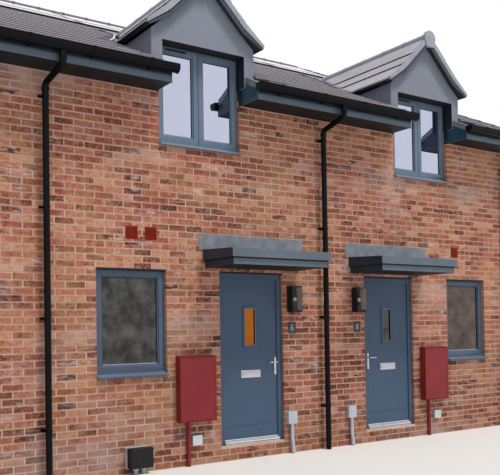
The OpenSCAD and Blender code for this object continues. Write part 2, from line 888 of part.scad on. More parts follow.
// Frame with a flange at the head and jambs and a stepped sash in each light
module window_unit(x0, x1, z0, z1, lights) {
    y0 = window_recess;
    y1 = window_recess + window_frame_t;
    width = (x1 - x0 - 2 * flange_w - (lights - 1) * sash_gap) / lights;
    face = sash_w - bead_w;
    difference() {
        box(x0, x1, y0 + bead_step, y1, z0, z1);
        for (i = [0 : lights - 1]) {
            x = x0 + flange_w + i * (width + sash_gap);
            box(x + 1, x + width - 1, y0 - 1, y1 + 1, z0 + 1, z1 - flange_w - 1);
        }
    }
    for (i = [0 : lights - 1]) {
        x = x0 + flange_w + i * (width + sash_gap);
        ring(x, x + width, y0, y1, z0, z1 - flange_w, face);
        ring(x + face, x + width - face, y0 + bead_step, y1, z0 + face, z1 - flange_w - face, bead_w);
    }
}

module window_panes(x0, x1, z0, z1, lights) {
    y0 = window_recess + bead_step + (window_frame_t - bead_step - pane_t) / 2;
    width = (x1 - x0 - 2 * flange_w - (lights - 1) * sash_gap) / lights;
    for (i = [0 : lights - 1]) {
        x = x0 + flange_w + i * (width + sash_gap);
        box(x + sash_w, x + width - sash_w, y0, y0 + pane_t, z0 + sash_w, z1 - flange_w - sash_w);
    }
}

module sill(x0, x1, z) {
    back = window_recess + window_frame_t;
    profile_x([[-sill_out, z], [-sill_out, z + sill_nose_h],
        [window_recess - sill_nose_h / 2, z + sill_h - sill_nose_h],
        [window_recess - sill_nose_h / 2, z + sill_h], [back, z + sill_h], [back, z]], x0, x1);
}

module window_frames() {
    x = dormer_open_w / 2;
    vent_l = 300;
    vent_h = 24;
    vent_t = 10;
    color("#46505a") {
        both_sides() each_house()
            window_unit(window_at, window_at + window_w, window_sill_z + sill_h, head_z, 1);
        each_dormer() {
            window_unit(-x, x, dormer_sill_z + sill_h, dormer_head_z, 2);
            translate([-x / 2 - vent_l / 2, window_recess - vent_t, dormer_head_z - flange_w - sash_w / 2])
                cube([vent_l, vent_t + 1, vent_h]);
        }
    }
}

module window_sills() {
    x = dormer_open_w / 2;
    color("#46505a") {
        both_sides() each_house() sill(window_at, window_at + window_w, window_sill_z);
        each_dormer() sill(-x, x, dormer_sill_z);
    }
}

module window_glass() {
    x = dormer_open_w / 2;
    color("lightblue", glass_alpha) {
        both_sides() each_house()
            window_panes(window_at, window_at + window_w, window_sill_z + sill_h, head_z, 1);
        each_dormer() window_panes(-x, x, dormer_sill_z + sill_h, dormer_head_z, 2);
        for (h = shut_houses) at_house(h) vision_pane();
        mirror([0, 1, 0]) each_house() vision_pane();
    }
}

// Doors

module door_frame() {
    x0 = door_at;
    x1 = door_at + door_w;
    z0 = door_base_z;
    outer = [[x0, z0], [x0, head_z], [x1, head_z], [x1, z0]];
    f = door_frame_w;
    lip = f + door_lip;
    profile_y(concat(outer, [[x1 - lip, z0], [x1 - lip, head_z - lip],
        [x0 + lip, head_z - lip], [x0 + lip, z0]]),
        door_recess, door_recess + door_lip);
    profile_y(concat(outer, [[x1 - f, z0], [x1 - f, head_z - f], [x0 + f, head_z - f], [x0 + f, z0]]),
        door_recess + door_lip - eps, leaf_back_y);
}

module hinged_frame() {
    z_up = hinge_h / 2 + hinge_cut;
    door_frame();
    for (z = hinge_zs) {
        box(hinge_a, hinge_a + hinge_plate_w, leaf_back_y - eps, leaf_back_y + hinge_plate_t,
            z + z_up, z + hinge_h);
        translate([hinge_a, hinge_y, z + z_up]) cylinder(r = hinge_r, h = hinge_h - z_up, $fn = 32);
        translate([hinge_a, hinge_y, z + hinge_r])
            cylinder(r = hinge_pin_r, h = hinge_h - 2 * hinge_r, $fn = 32);
    }
}

module door_frames() {
    color("slategray") {
        for (h = shut_houses) at_house(h) door_frame();
        mirror([0, 1, 0]) each_house() door_frame();
    }
}

module thresholds() {
    nose = 30;
    jamb = door_frame_w + door_lip;
    color("whitesmoke") both_sides() each_house() profile_x([[door_recess - nose, door_base_z],
        [door_recess - nose, sill_line_z - nose], [leaf_y, sill_line_z], [leaf_back_y, sill_line_z],
        [leaf_back_y, door_base_z]], door_at + jamb, door_at + door_w - jamb);
}

// Leaf with its raised vision surround on both faces, moulded lines and the letter slot
module leaf(x0, x1, y0, z0, z1) {
    difference() {
        union() {
            box(x0, x1, y0, leaf_back_y, z0, z1);
            box(door_mid - vision_w / 2, door_mid + vision_w / 2,
                leaf_y - vision_proud, leaf_back_y + vision_proud,
                vision_z - vision_h / 2, vision_z + vision_h / 2);
        }
        box(door_mid - vision_w / 2 + vision_face, door_mid + vision_w / 2 - vision_face,
            leaf_y - through, leaf_back_y + through,
            vision_z - vision_h / 2 + vision_face, vision_z + vision_h / 2 - vision_face);
        for (z = [leaf_z + leaf_line, leaf_z + leaf_h - leaf_line])
            box(x0 - 1, x1 + 1, y0 - 1, y0 + line_t, z - line_w / 2, z + line_w / 2);
    }
}

module vision_pane() {
    y = leaf_y + (leaf_t - pane_t) / 2;
    box(door_mid - vision_w / 2 + vision_face, door_mid + vision_w / 2 - vision_face, y, y + pane_t,
        vision_z - vision_h / 2 + vision_face, vision_z + vision_h / 2 - vision_face);
}

module letter_slot() {
    box(door_mid - slot_w / 2, door_mid + slot_w / 2, 0, leaf_back_y + through,
        letter_z - slot_h / 2, letter_z + slot_h / 2);
}

module spindle_bore() {
    translate([handle_a, 0, handle_z]) rod_y(spindle_bore_r, 0, leaf_back_y + through);
}

module open_leaf() {
    x0 = door_at + door_frame_w + leaf_gap;
    difference() {
        union() {
            leaf(x0, x0 + leaf_w, leaf_y, leaf_z, leaf_z + leaf_h);
            for (z = hinge_zs) {
                box(hinge_a - hinge_plate_w, hinge_a, leaf_back_y - eps, leaf_back_y + hinge_plate_t,
                    z, z + hinge_h / 2 - hinge_cut);
                translate([hinge_a, hinge_y, z])
                    cylinder(r = hinge_r, h = hinge_h / 2 - hinge_cut, $fn = 32);
            }
        }
        for (z = hinge_zs) translate([hinge_a, hinge_y, z - 1])
            cylinder(r = hinge_pin_r + hinge_play, h = hinge_h, $fn = 32);
        spindle_bore();
        letter_slot();
    }
}

// A shut leaf fills the rebate of its frame
module closed_leaf() {
    leaf(door_at + door_frame_w, door_at + door_w - door_frame_w, door_recess + door_lip,
        sill_line_z, head_z - door_frame_w);
}

module closed_doors() {
    color("slategray") {
        for (h = shut_houses) at_house(h) closed_leaf();
        mirror([0, 1, 0]) each_house() closed_leaf();
    }
}

module backplate(y) {
    z1 = handle_z + plate_rise;
    box(handle_a - plate_w / 2, handle_a + plate_w / 2, y, y + plate_t, z1 - plate_h, z1);
}

module lever(y) {
    translate([handle_a, y, handle_z]) {
        rod_x(lever_r, 0, lever_l);
        sphere(r = lever_r, $fn = 32);
    }
}

module letter_plate() {
    ring_w = (letter_w - slot_w) / 2;
    difference() {
        box(door_mid - letter_w / 2, door_mid + letter_w / 2, leaf_y - letter_plate_t, leaf_y,
            letter_z - letter_h / 2, letter_z + letter_h / 2);
        box(door_mid - letter_w / 2 + ring_w, door_mid + letter_w / 2 - ring_w,
            leaf_y - through, leaf_y + 1,
            letter_z - slot_h / 2, letter_z + slot_h / 2);
    }
}

module closed_door_furniture() {
    color("silver") {
        for (h = shut_houses) at_house(h) fixed_furniture();
        mirror([0, 1, 0]) each_house() fixed_furniture();
    }
}

// Shut flap and a lever on its neck, seated on the face of a shut leaf
module fixed_furniture() {
    y = door_recess + door_lip;
    backplate(y - plate_t);
    translate([handle_a, 0, handle_z]) rod_y(lever_r, y - plate_t - lever_stand, y - plate_t + eps);
    lever(y - plate_t - lever_stand);
    box(door_mid - letter_w / 2, door_mid + letter_w / 2, y - letter_plate_t, y,
        letter_z - letter_h / 2, letter_z + letter_h / 2);
    box(door_mid - flap_w / 2, door_mid + flap_w / 2, y - letter_plate_t - flap_t, y,
        letter_z - flap_h / 2, letter_z + flap_h / 2);
}

module door_furniture() {
    difference() {
        union() {
            backplate(leaf_y - plate_t);
            backplate(leaf_back_y);
        }
        spindle_bore();
    }
    letter_plate();
    for (side = [-1, 1]) translate([door_mid, flap_hinge_y, flap_hinge_z]) {
        x = side * (flap_w / 2 + flap_play + flap_lug / 2);
        pin_x = side * (flap_w / 2 + flap_play + 1);
        box(x - flap_lug / 2, x + flap_lug / 2, -flap_roll_r, leaf_y - flap_hinge_y,
            -flap_roll_r, flap_roll_r);
        rod_x(flap_pin_r, min(pin_x, pin_x - side * flap_pin_l), max(pin_x, pin_x - side * flap_pin_l));
    }
}

module letter_flap() {
    y = flap_hinge_y + flap_roll_r - flap_t;
    difference() {
        union() {
            box(door_mid - flap_w / 2, door_mid + flap_w / 2, y, y + flap_t,
                letter_z - flap_h / 2, flap_hinge_z);
            translate([door_mid, flap_hinge_y, flap_hinge_z]) rod_x(flap_roll_r, -flap_w / 2, flap_w / 2);
        }
        for (x = [-flap_w / 2 - 1, flap_w / 2 - flap_pin_l - 1])
            translate([door_mid, flap_hinge_y, flap_hinge_z])
            rod_x(flap_pin_r + flap_pin_play, x, x + flap_pin_l + 2);
    }
}

module lever_handle() {
    front_y = leaf_y - plate_t;
    rear_y = leaf_back_y + plate_t;
    translate([handle_a, 0, handle_z]) {
        rod_y(spindle_r, front_y - lever_stand, rear_y + lever_stand);
        rod_y(lever_r, front_y - lever_stand, front_y - lever_gap);
        rod_y(lever_r, rear_y + lever_gap, rear_y + lever_stand);
    }
    lever(front_y - lever_stand);
    lever(rear_y + lever_stand);
}

// Canopies

// Two flat tiers, the upper one falling to the front
module canopies() {
    half = canopy_w / 2;
    z0 = canopy_z + canopy_low_h;
    z1 = z0 + canopy_top_h;
    color("#5f7383") each_house() translate([door_mid - canopy_shift, 0, 0]) {
        profile_x([[0, z0], [-canopy_out, z0], [-canopy_out, z1], [0, z1 + canopy_fall]], -half, half);
        box(canopy_step - half, half - canopy_step, canopy_step - canopy_out, 0, canopy_z, z0 + eps);
    }
}

// Meter boxes

module meter_box() {
    x0 = meter_at;
    x1 = meter_end;
    difference() {
        union() {
            box(x0, x1, -meter_t + meter_lip, 0, meter_z, meter_top_z + meter_wall);
            profile_x([[0, meter_top_z], [0, meter_top_z + meter_lid],
                [-meter_t, meter_top_z + meter_lid / 2],
                [-meter_t, meter_top_z]], x0, x1);
            box(x0, x1, -meter_t, 0, meter_z, meter_z + meter_wall);
        }
        box(x0 + meter_wall, x1 - meter_wall, -meter_t - through, -meter_wall,
            meter_z + meter_wall, meter_top_z);
    }
    for (z = [meter_z + meter_wall - eps, meter_top_z - meter_gap - meter_lip + eps])
        translate([meter_hinge_a, meter_hinge_y, z])
            cylinder(r = meter_pin_r, h = meter_gap + meter_lip, $fn = 24);
}

// The riser stands left of the box's middle as seen from the street, whichever way round the house is
module meter_riser(h) {
    translate([meter_mid + left_of(h) * riser_off, -riser_d / 2 - meter_wall, 0])
        cylinder(d = riser_d, h = meter_z + 1, $fn = 32);
}

module meter_door() {
    z0 = meter_z + meter_wall + meter_gap;
    z1 = meter_top_z - meter_gap;
    y1 = meter_door_y + meter_wall;
    difference() {
        union() {
            box(meter_at, meter_hinge_a, meter_door_y, y1, z0, z1);
            ring(meter_at, meter_hinge_a - meter_roll_r, meter_door_y - meter_rim_t, y1, z0, z1,
                meter_rim_w);
            translate([meter_hinge_a, meter_hinge_y, z0]) cylinder(r = meter_roll_r, h = z1 - z0, $fn = 24);
        }
        for (z = [z0 - 1, z1 - meter_lip - meter_play]) translate([meter_hinge_a, meter_hinge_y, z])
            cylinder(r = meter_pin_r + meter_play, h = meter_lip + meter_play + 1, $fn = 24);
    }
}

module meter_boxes() {
    color("#6b1f2a") {
        each_house() meter_box();
        for (h = [0 : houses - 1]) at_house(h) meter_riser(h);
        for (h = shut_houses) at_house(h) meter_door();
    }
}

// Small fittings on the wall

// Box lantern open at the front, with its bulb on a holder
module wall_lamps() {
    t = 5;
    bulb_r = 28;
    tray_h = 24;
    mid = lamp_z + lamp_h / 2;
    color("#1c1d20") each_house() translate([lamp_at, 0, 0]) {
        difference() {
            box(-lamp_w / 2, lamp_w / 2, -lamp_d, 0, lamp_z, lamp_z + lamp_h);
            box(t - lamp_w / 2, lamp_w / 2 - t, -lamp_d - 1, -2 * t, lamp_z + tray_h,
                lamp_z + lamp_h - 2 * t);
        }
        translate([0, -lamp_d / 2, lamp_z + tray_h - 1])
            cylinder(r = bulb_r / 2, h = mid - lamp_z - tray_h + 1, $fn = 24);
        translate([0, -lamp_d / 2, mid]) sphere(r = bulb_r, $fn = 24);
    }
}

module air_vent() {
    plate = 6;
    bars = 6;
    box(-vent_w / 2, vent_w / 2, -plate, 0, vent_z, vent_z + vent_w);
    for (i = [1 : bars]) {
        z = vent_z + i * vent_w / (bars + 1);
        box(-vent_w / 2 + plate, vent_w / 2 - plate, -2 * plate, 0, z - plate / 2, z + plate / 2);
    }
}

// Service box with a duct that bends out to the ground
module service_box() {
    duct_r = 24;
    depth = 55;
    bend_z = service_z / 2;
    duct_gap = 6;
    duct_y = -duct_r - duct_gap;
    out_y = duct_y - duct_r;
    box(-service_w / 2, service_w / 2, -depth, 0, service_z, service_z + service_h);
    bar([0, duct_y, service_z + 1], [0, duct_y, bend_z], duct_r);
    translate([0, duct_y, bend_z]) sphere(r = duct_r + 1, $fn = 16);
    bar([0, duct_y, bend_z], [0, out_y, duct_r + 1], duct_r);
    translate([0, out_y, duct_r + 1]) sphere(r = duct_r + 1, $fn = 16);
}

// Weatherproof outlet box on two ducts
module outlet_box() {
    w = 276;
    h = 232;
    d = 150;
    duct_r = 24;
    base_z = 57;
    duct_x = 46;
    off = 28;
    translate([-off, 0, 0]) {
        box(-w / 2, w / 2, -d, 0, base_z, base_z + h);
        for (x = [-duct_x, duct_x]) translate([x, -d / 2, 0])
            cylinder(r = duct_r, h = base_z + 1, $fn = 24);
    }
}

module wall_fittings() {
    bell_r = 13;
    bell_z = 1195;
    bell_a = 580;
    stub_w = 125;
    stub_h = 112;
    stub_d = 50;
    stub_z = 233;
    stub_off = [-10, 67];
    service_at = [595, 405];
    number_t = 8;
    vent_step = vent_w * 1.6;
    color("gray") {
        for (h = [0 : houses - 1]) at_house(h) translate([window_mid, 0, 0]) {
            translate([-vent_step, 0, 0]) air_vent();
            if (h % 2 == 0) {
                air_vent();
                outlet_box();
            }
        }
        for (h = [0 : houses - 1]) at_house(h) {
            translate([service_at[h % 2], 0, 0]) service_box();
            translate([lamp_at + number_t, 0, 0])
                box(-number_w / 2, number_w / 2, -number_t, 0, number_z, number_z + number_h);
            translate([bell_a, 0, bell_z]) rod_y(bell_r, -bell_r, 0);
            translate([meter_mid + stub_off[h % 2], 0, 0])
                box(-stub_w / 2, stub_w / 2, -stub_d, 0, stub_z, stub_z + stub_h);
        }
    }
}

// Moving pieces of the two right-hand houses

module door_frame_1() { color("slategray") at_house(houses - 2) hinged_frame(); }
module door_frame_2() { color("slategray") at_house(houses - 1) hinged_frame(); }
module door_leaf_1() { color("slategray") at_house(houses - 2) open_leaf(); }
module door_leaf_2() { color("slategray") at_house(houses - 1) open_leaf(); }
module door_glass_1() { color("lightblue", glass_alpha) at_house(houses - 2) vision_pane(); }
module door_glass_2() { color("lightblue", glass_alpha) at_house(houses - 1) vision_pane(); }
module door_furniture_1() { color("silver") at_house(houses - 2) door_furniture(); }
module door_furniture_2() { color("silver") at_house(houses - 1) door_furniture(); }
module lever_handle_1() { color("silver") at_house(houses - 2) lever_handle(); }
module lever_handle_2() { color("silver") at_house(houses - 1) lever_handle(); }
module letter_flap_1() { color("silver") at_house(houses - 2) letter_flap(); }
module letter_flap_2() { color("silver") at_house(houses - 1) letter_flap(); }
module meter_door_1() { color("#6b1f2a") at_house(houses - 2) meter_door(); }
module meter_door_2() { color("#6b1f2a") at_house(houses - 1) meter_door(); }

front_piers();
front_aprons();
front_upper_wall();
rear_wall();
end_walls();
party_walls();
ground_floor();
first_floor();
roof_front();
roof_rear();
ridge_tiles();
verge_caps();
solar_panels();
dormer_walls();
dormer_roofs();
dormer_ridges();
lead_flashings();
eaves_boards();
eaves_ends();
gutters();
downpipes();
window_frames();
window_sills();
window_glass();
door_frames();
door_frame_1();
door_frame_2();
thresholds();
closed_doors();
closed_door_furniture();
canopies();
meter_boxes();
wall_lamps();
wall_fittings();
door_leaf_1();
door_glass_1();
door_furniture_1();
lever_handle_1();
letter_flap_1();
meter_door_1();
door_leaf_2();
door_glass_2();
door_furniture_2();
lever_handle_2();
letter_flap_2();
meter_door_2();
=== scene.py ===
import logging
import math
from collections.abc import Callable, Iterable, Sequence
from dataclasses import dataclass, field
from enum import Enum
from functools import partial
from itertools import product

import bmesh
import bpy
from mathutils import Matrix, Vector


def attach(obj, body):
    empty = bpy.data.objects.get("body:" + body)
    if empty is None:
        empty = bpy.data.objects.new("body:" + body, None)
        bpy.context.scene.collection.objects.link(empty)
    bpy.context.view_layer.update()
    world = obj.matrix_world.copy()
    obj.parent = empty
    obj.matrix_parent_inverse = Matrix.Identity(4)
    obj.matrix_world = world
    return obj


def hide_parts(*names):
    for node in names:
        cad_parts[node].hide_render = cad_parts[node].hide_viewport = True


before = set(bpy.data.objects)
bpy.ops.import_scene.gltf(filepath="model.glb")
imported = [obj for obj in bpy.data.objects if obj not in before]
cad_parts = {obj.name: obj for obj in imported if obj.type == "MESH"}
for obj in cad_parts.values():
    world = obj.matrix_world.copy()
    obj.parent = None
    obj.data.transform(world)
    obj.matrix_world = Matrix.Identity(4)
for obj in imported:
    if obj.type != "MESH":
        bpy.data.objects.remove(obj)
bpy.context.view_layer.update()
LOG = logging.getLogger("terrace")

Tree, Node = bpy.types.NodeTree, bpy.types.Node
Pair = tuple[float, float]
Triple = tuple[float, float, float]
Rect = tuple[float, float, float, float]
Row = tuple[float, ...]
Point = Sequence[float]
Outline = Sequence[Pair]
MM = 0.001
# Points this close are one, and edges bent past the crease stay sharp
WELD = 1e-5
CREASE = math.radians(35)


class Side(Enum):
    """The two long faces of the row."""

    STREET = 1
    REAR = -1

    @property
    def turn(self) -> float:
        """Angle about the upright that brings the street's side here."""
        return 0.0 if self is Side.STREET else math.pi


@dataclass(frozen=True)
class RowPlan:
    """Sizes of the row in metres, as the frame has them."""

    houses: int = 4
    house_w: float = 3.7125
    depth: float = 10.575
    roof_pitch: float = math.radians(25.5)
    roof_z: float = 4.655
    wall_top: float = 4.475
    soffit: float = 4.283
    eaves_out: float = 0.375
    window: Rect = (2.34, 3.195, 1.05, 2.25)
    door: Rect = (0.69, 1.63, 0.175, 2.25)
    dormer_open: Triple = (0.554, 3.675, 4.848)
    dormer_half: float = 0.696
    dormer_roof_half: float = 0.790
    dormer_apex: float = 5.715
    dormer_bend: float = 0.500
    dormer_foot_fall: float = math.tan(math.radians(41))
    dormer_front: float = -0.205
    box_gap: float = 0.022

    @property
    def half_w(self) -> float:
        """Half the row's width."""
        return self.houses * self.house_w / 2

    @property
    def face_y(self) -> float:
        """Y of the street's brick face."""
        return -self.depth / 2

    @property
    def slope(self) -> float:
        """Rise of the main roof per metre."""
        return math.tan(self.roof_pitch)

    @property
    def ridge_z(self) -> float:
        """Height of the main roof's ridge line."""
        return self.roof_z + self.slope * self.depth / 2

    def door_line(self, house: int) -> float:
        """X of the party line between the two doors of a house's pair."""
        return -self.half_w + (house + 1 - house % 2) * self.house_w

    def at_wall(self, side: Side, x: float = 0.0) -> Matrix:
        """Places a long wall's own axes: x along the row, y from the brick face."""
        return Matrix.Diagonal((1, side.value, 1, 1)) @ Matrix.Translation((x, self.face_y, 0))

    def at_house(self, house: int, side: Side) -> Matrix:
        """Places a house front: x from its pair's door party line, y from the brick face."""
        mirror = Matrix.Diagonal((-1 if house % 2 == 0 else 1, 1, 1, 1))
        return self.at_wall(side, self.door_line(house)) @ mirror

    def on_slope(self, side: Side) -> Matrix:
        """Places a roof slope's own axes: x along the row, y up the slope, z off the roof."""
        laid = Matrix.Translation((0, self.face_y, self.roof_z)) @ Matrix.Rotation(self.roof_pitch, 4, "X")
        return Matrix.Rotation(side.turn, 4, "Z") @ laid

    def dormer_x(self, bay: int) -> float:
        """X of a dormer's centre line."""
        return -self.half_w + (bay + 0.5) * self.house_w

    def fronts(self) -> list[Matrix]:
        """Places of all the house fronts, street and rear."""
        return [self.at_house(h, side) for side in Side for h in range(self.houses)]

    def street_fronts(self) -> list[Matrix]:
        """Places of the house fronts on the street."""
        return [self.at_house(h, Side.STREET) for h in range(self.houses)]

    def dormers(self) -> list[Matrix]:
        """Places of all the dormers."""
        return [self.at_wall(side, self.dormer_x(b)) for side in Side for b in range(self.houses)]

    def dormer_line(self, u: float, lift: float = 0.0) -> float:
        """Height of a dormer's slope at a distance from its centre line, plus a lift."""
        foot = max(u - self.dormer_bend, 0)
        return self.dormer_apex + lift - min(u, self.dormer_bend) - foot * self.dormer_foot_fall

    def meets(self, z: float) -> float:
        """Distance behind the brick face at which the main roof has a height."""
        return (z - self.roof_z) / self.slope

    def roof_at(self, point: Vector) -> float:
        """Height of the main roof's surface over or under a point."""
        return self.roof_z + self.slope * (-self.face_y - abs(point.y))

    def house_place(self, point: Vector) -> Pair:
        """Returns a point's distances from its pair's door party line and from its brick face."""
        house = min(max(int((point.x + self.half_w) / self.house_w), 0), self.houses - 1)
        return abs(point.x - self.door_line(house)), abs(point.y) + self.face_y

    def eaves_runs(self) -> list[Pair]:
        """Start and end of each stretch of eaves between the dormers."""
        clear = self.dormer_open[0] + self.box_gap
        centres = [self.dormer_x(b) for b in range(self.houses)]
        starts = [-self.half_w] + [x + clear for x in centres]
        ends = [x - clear for x in centres] + [self.half_w]
        return list(zip(starts, ends))


PLAN = RowPlan()


# ---- Colour, nodes and finishes


def linear(code: str) -> Rect:
    """Turns an sRGB hex colour to linear red, green, blue and alpha."""
    parts = [int(code[i:i + 2], 16) / 255 for i in (1, 3, 5)]
    return (*(p / 12.92 if p <= 0.04045 else ((p + 0.055) / 1.055) ** 2.4 for p in parts), 1.0)


def add_node(tree: Tree, kind: str, inputs: dict | None = None, **settings) -> Node:
    """Adds a node with its settings, values and links.

    Args:
        tree: node tree that gets the node.
        kind: Blender's name of the node.
        inputs: value, output socket or node (its first output) for each input, by name or number.
        settings: the node's own properties; stops are a colour ramp's places and colours.

    Returns:
        The new node.
    """
    node = tree.nodes.new(kind)
    for stop, (place, code) in enumerate(settings.pop("stops", [])):
        ramp = node.color_ramp.elements
        point = ramp[stop] if stop < 2 else ramp.new(place)
        point.position, point.color = place, linear(code)
    for name, value in settings.items():
        setattr(node, name, value)
    for name, value in (inputs or {}).items():
        value = value.outputs[0] if isinstance(value, Node) else value
        if isinstance(value, bpy.types.NodeSocket):
            tree.links.new(value, node.inputs[name])
        else:
            node.inputs[name].default_value = value
    return node


@dataclass(frozen=True)
class Finish:
    """A surface finish with two colours in patches, a fine grain and a varying gloss.

    The first colour gives way to the other where the patches' noise passes through fade. The grain
    lightens and darkens by grit. Pieces laid by the repeater differ by tones, and their rims take the
    rim highlight, a painted highlight. The painted shadow is a cast shadow painted between two heights.
    """

    name: str
    colour: str
    other: str
    patch_mm: float = 300.0
    grain_mm: float = 3.0
    relief_mm: float = 0.08
    roughness: float = 0.45
    shine: float = 0.5
    spread: float = 0.12
    metallic: float = 0.0
    stretch: Triple = (1.0, 1.0, 1.0)
    fade: Pair = (0.38, 0.66)
    grit: float = 0.1
    tones: float = 0.0
    rim_highlight: str = ""
    painted_shadow: Pair = (0.0, 0.0)
    painted_shadow_left: float = 0.2
    painted_shadow_ragged: float = 0.05

    def material(self) -> bpy.types.Material:
        """Returns the finish as a material, made once."""
        found = bpy.data.materials.get(self.name)
        if found:
            return found
        made = bpy.data.materials.new(self.name)
        made.use_nodes = True
        made.node_tree.nodes.clear()
        add_node(made.node_tree, "ShaderNodeOutputMaterial", {"Surface": self.surface(made.node_tree)})
        return made

    def surface(self, tree: Tree) -> Node:
        """Builds the nodes and returns the shader."""
        add = partial(add_node, tree)
        place = add("ShaderNodeTexCoord").outputs["Object"]
        drawn = add("ShaderNodeMapping", {"Vector": place, "Scale": self.stretch})
        patch = add("ShaderNodeTexNoise", {"Vector": drawn, "Scale": 1000 / self.patch_mm, "Detail": 4.0})
        mask = add("ShaderNodeMapRange", {"Value": patch, "From Min": self.fade[0], "From Max": self.fade[1]})
        colour = add("ShaderNodeMix", {
            0: mask, 6: linear(self.colour), 7: linear(self.other)}, data_type="RGBA").outputs[2]
        grain = add("ShaderNodeTexNoise", {"Vector": drawn, "Scale": 1000 / self.grain_mm, "Detail": 2.0})
        shade = add("ShaderNodeMapRange", {"Value": grain, "To Min": 1 - self.grit, "To Max": 1 + self.grit})
        if self.tones:
            tone = add("ShaderNodeAttribute", attribute_name="tone").outputs["Fac"]
            lift = add("ShaderNodeMapRange", {
                "Value": tone, "To Min": 1 - self.tones, "To Max": 1 + self.tones})
            shade = add("ShaderNodeMath", {0: shade, 1: lift}, operation="MULTIPLY")
        colour = add("ShaderNodeVectorMath", {0: colour, "Scale": shade}, operation="SCALE")
        # Rims marked on the pieces take a painted highlight colour
        if self.rim_highlight:
            rim = add("ShaderNodeAttribute", attribute_name="rim").outputs["Fac"]
            colour = add("ShaderNodeMix", {
                0: rim, 6: colour, 7: linear(self.rim_highlight)}, data_type="RGBA").outputs[2]
        if self.painted_shadow[1]:
            # Painted shadow: darker towards the upper height, with a ragged lower edge
            height = add("ShaderNodeSeparateXYZ", {"Vector": place}).outputs[2]
            height = add("ShaderNodeMath", {0: patch, 1: self.painted_shadow_ragged, 2: height}, operation="MULTIPLY_ADD")
            left = add("ShaderNodeMapRange", {
                "Value": height, "From Min": self.painted_shadow[0], "From Max": self.painted_shadow[1], "To Min": 1.0,
                "To Max": self.painted_shadow_left})
            colour = add("ShaderNodeVectorMath", {0: colour, "Scale": left}, operation="SCALE")
        gloss = add("ShaderNodeMapRange", {
            "Value": patch, "To Min": self.roughness - self.spread,
            "To Max": min(1.0, self.roughness + self.spread)})
        bump = add("ShaderNodeBump", {"Strength": 0.5, "Distance": self.relief_mm * MM * 2, "Height": grain})
        return add("ShaderNodeBsdfPrincipled", {
            "Base Color": colour, "Roughness": gloss, "Metallic": self.metallic,
            "Specular IOR Level": self.shine, "Normal": bump})


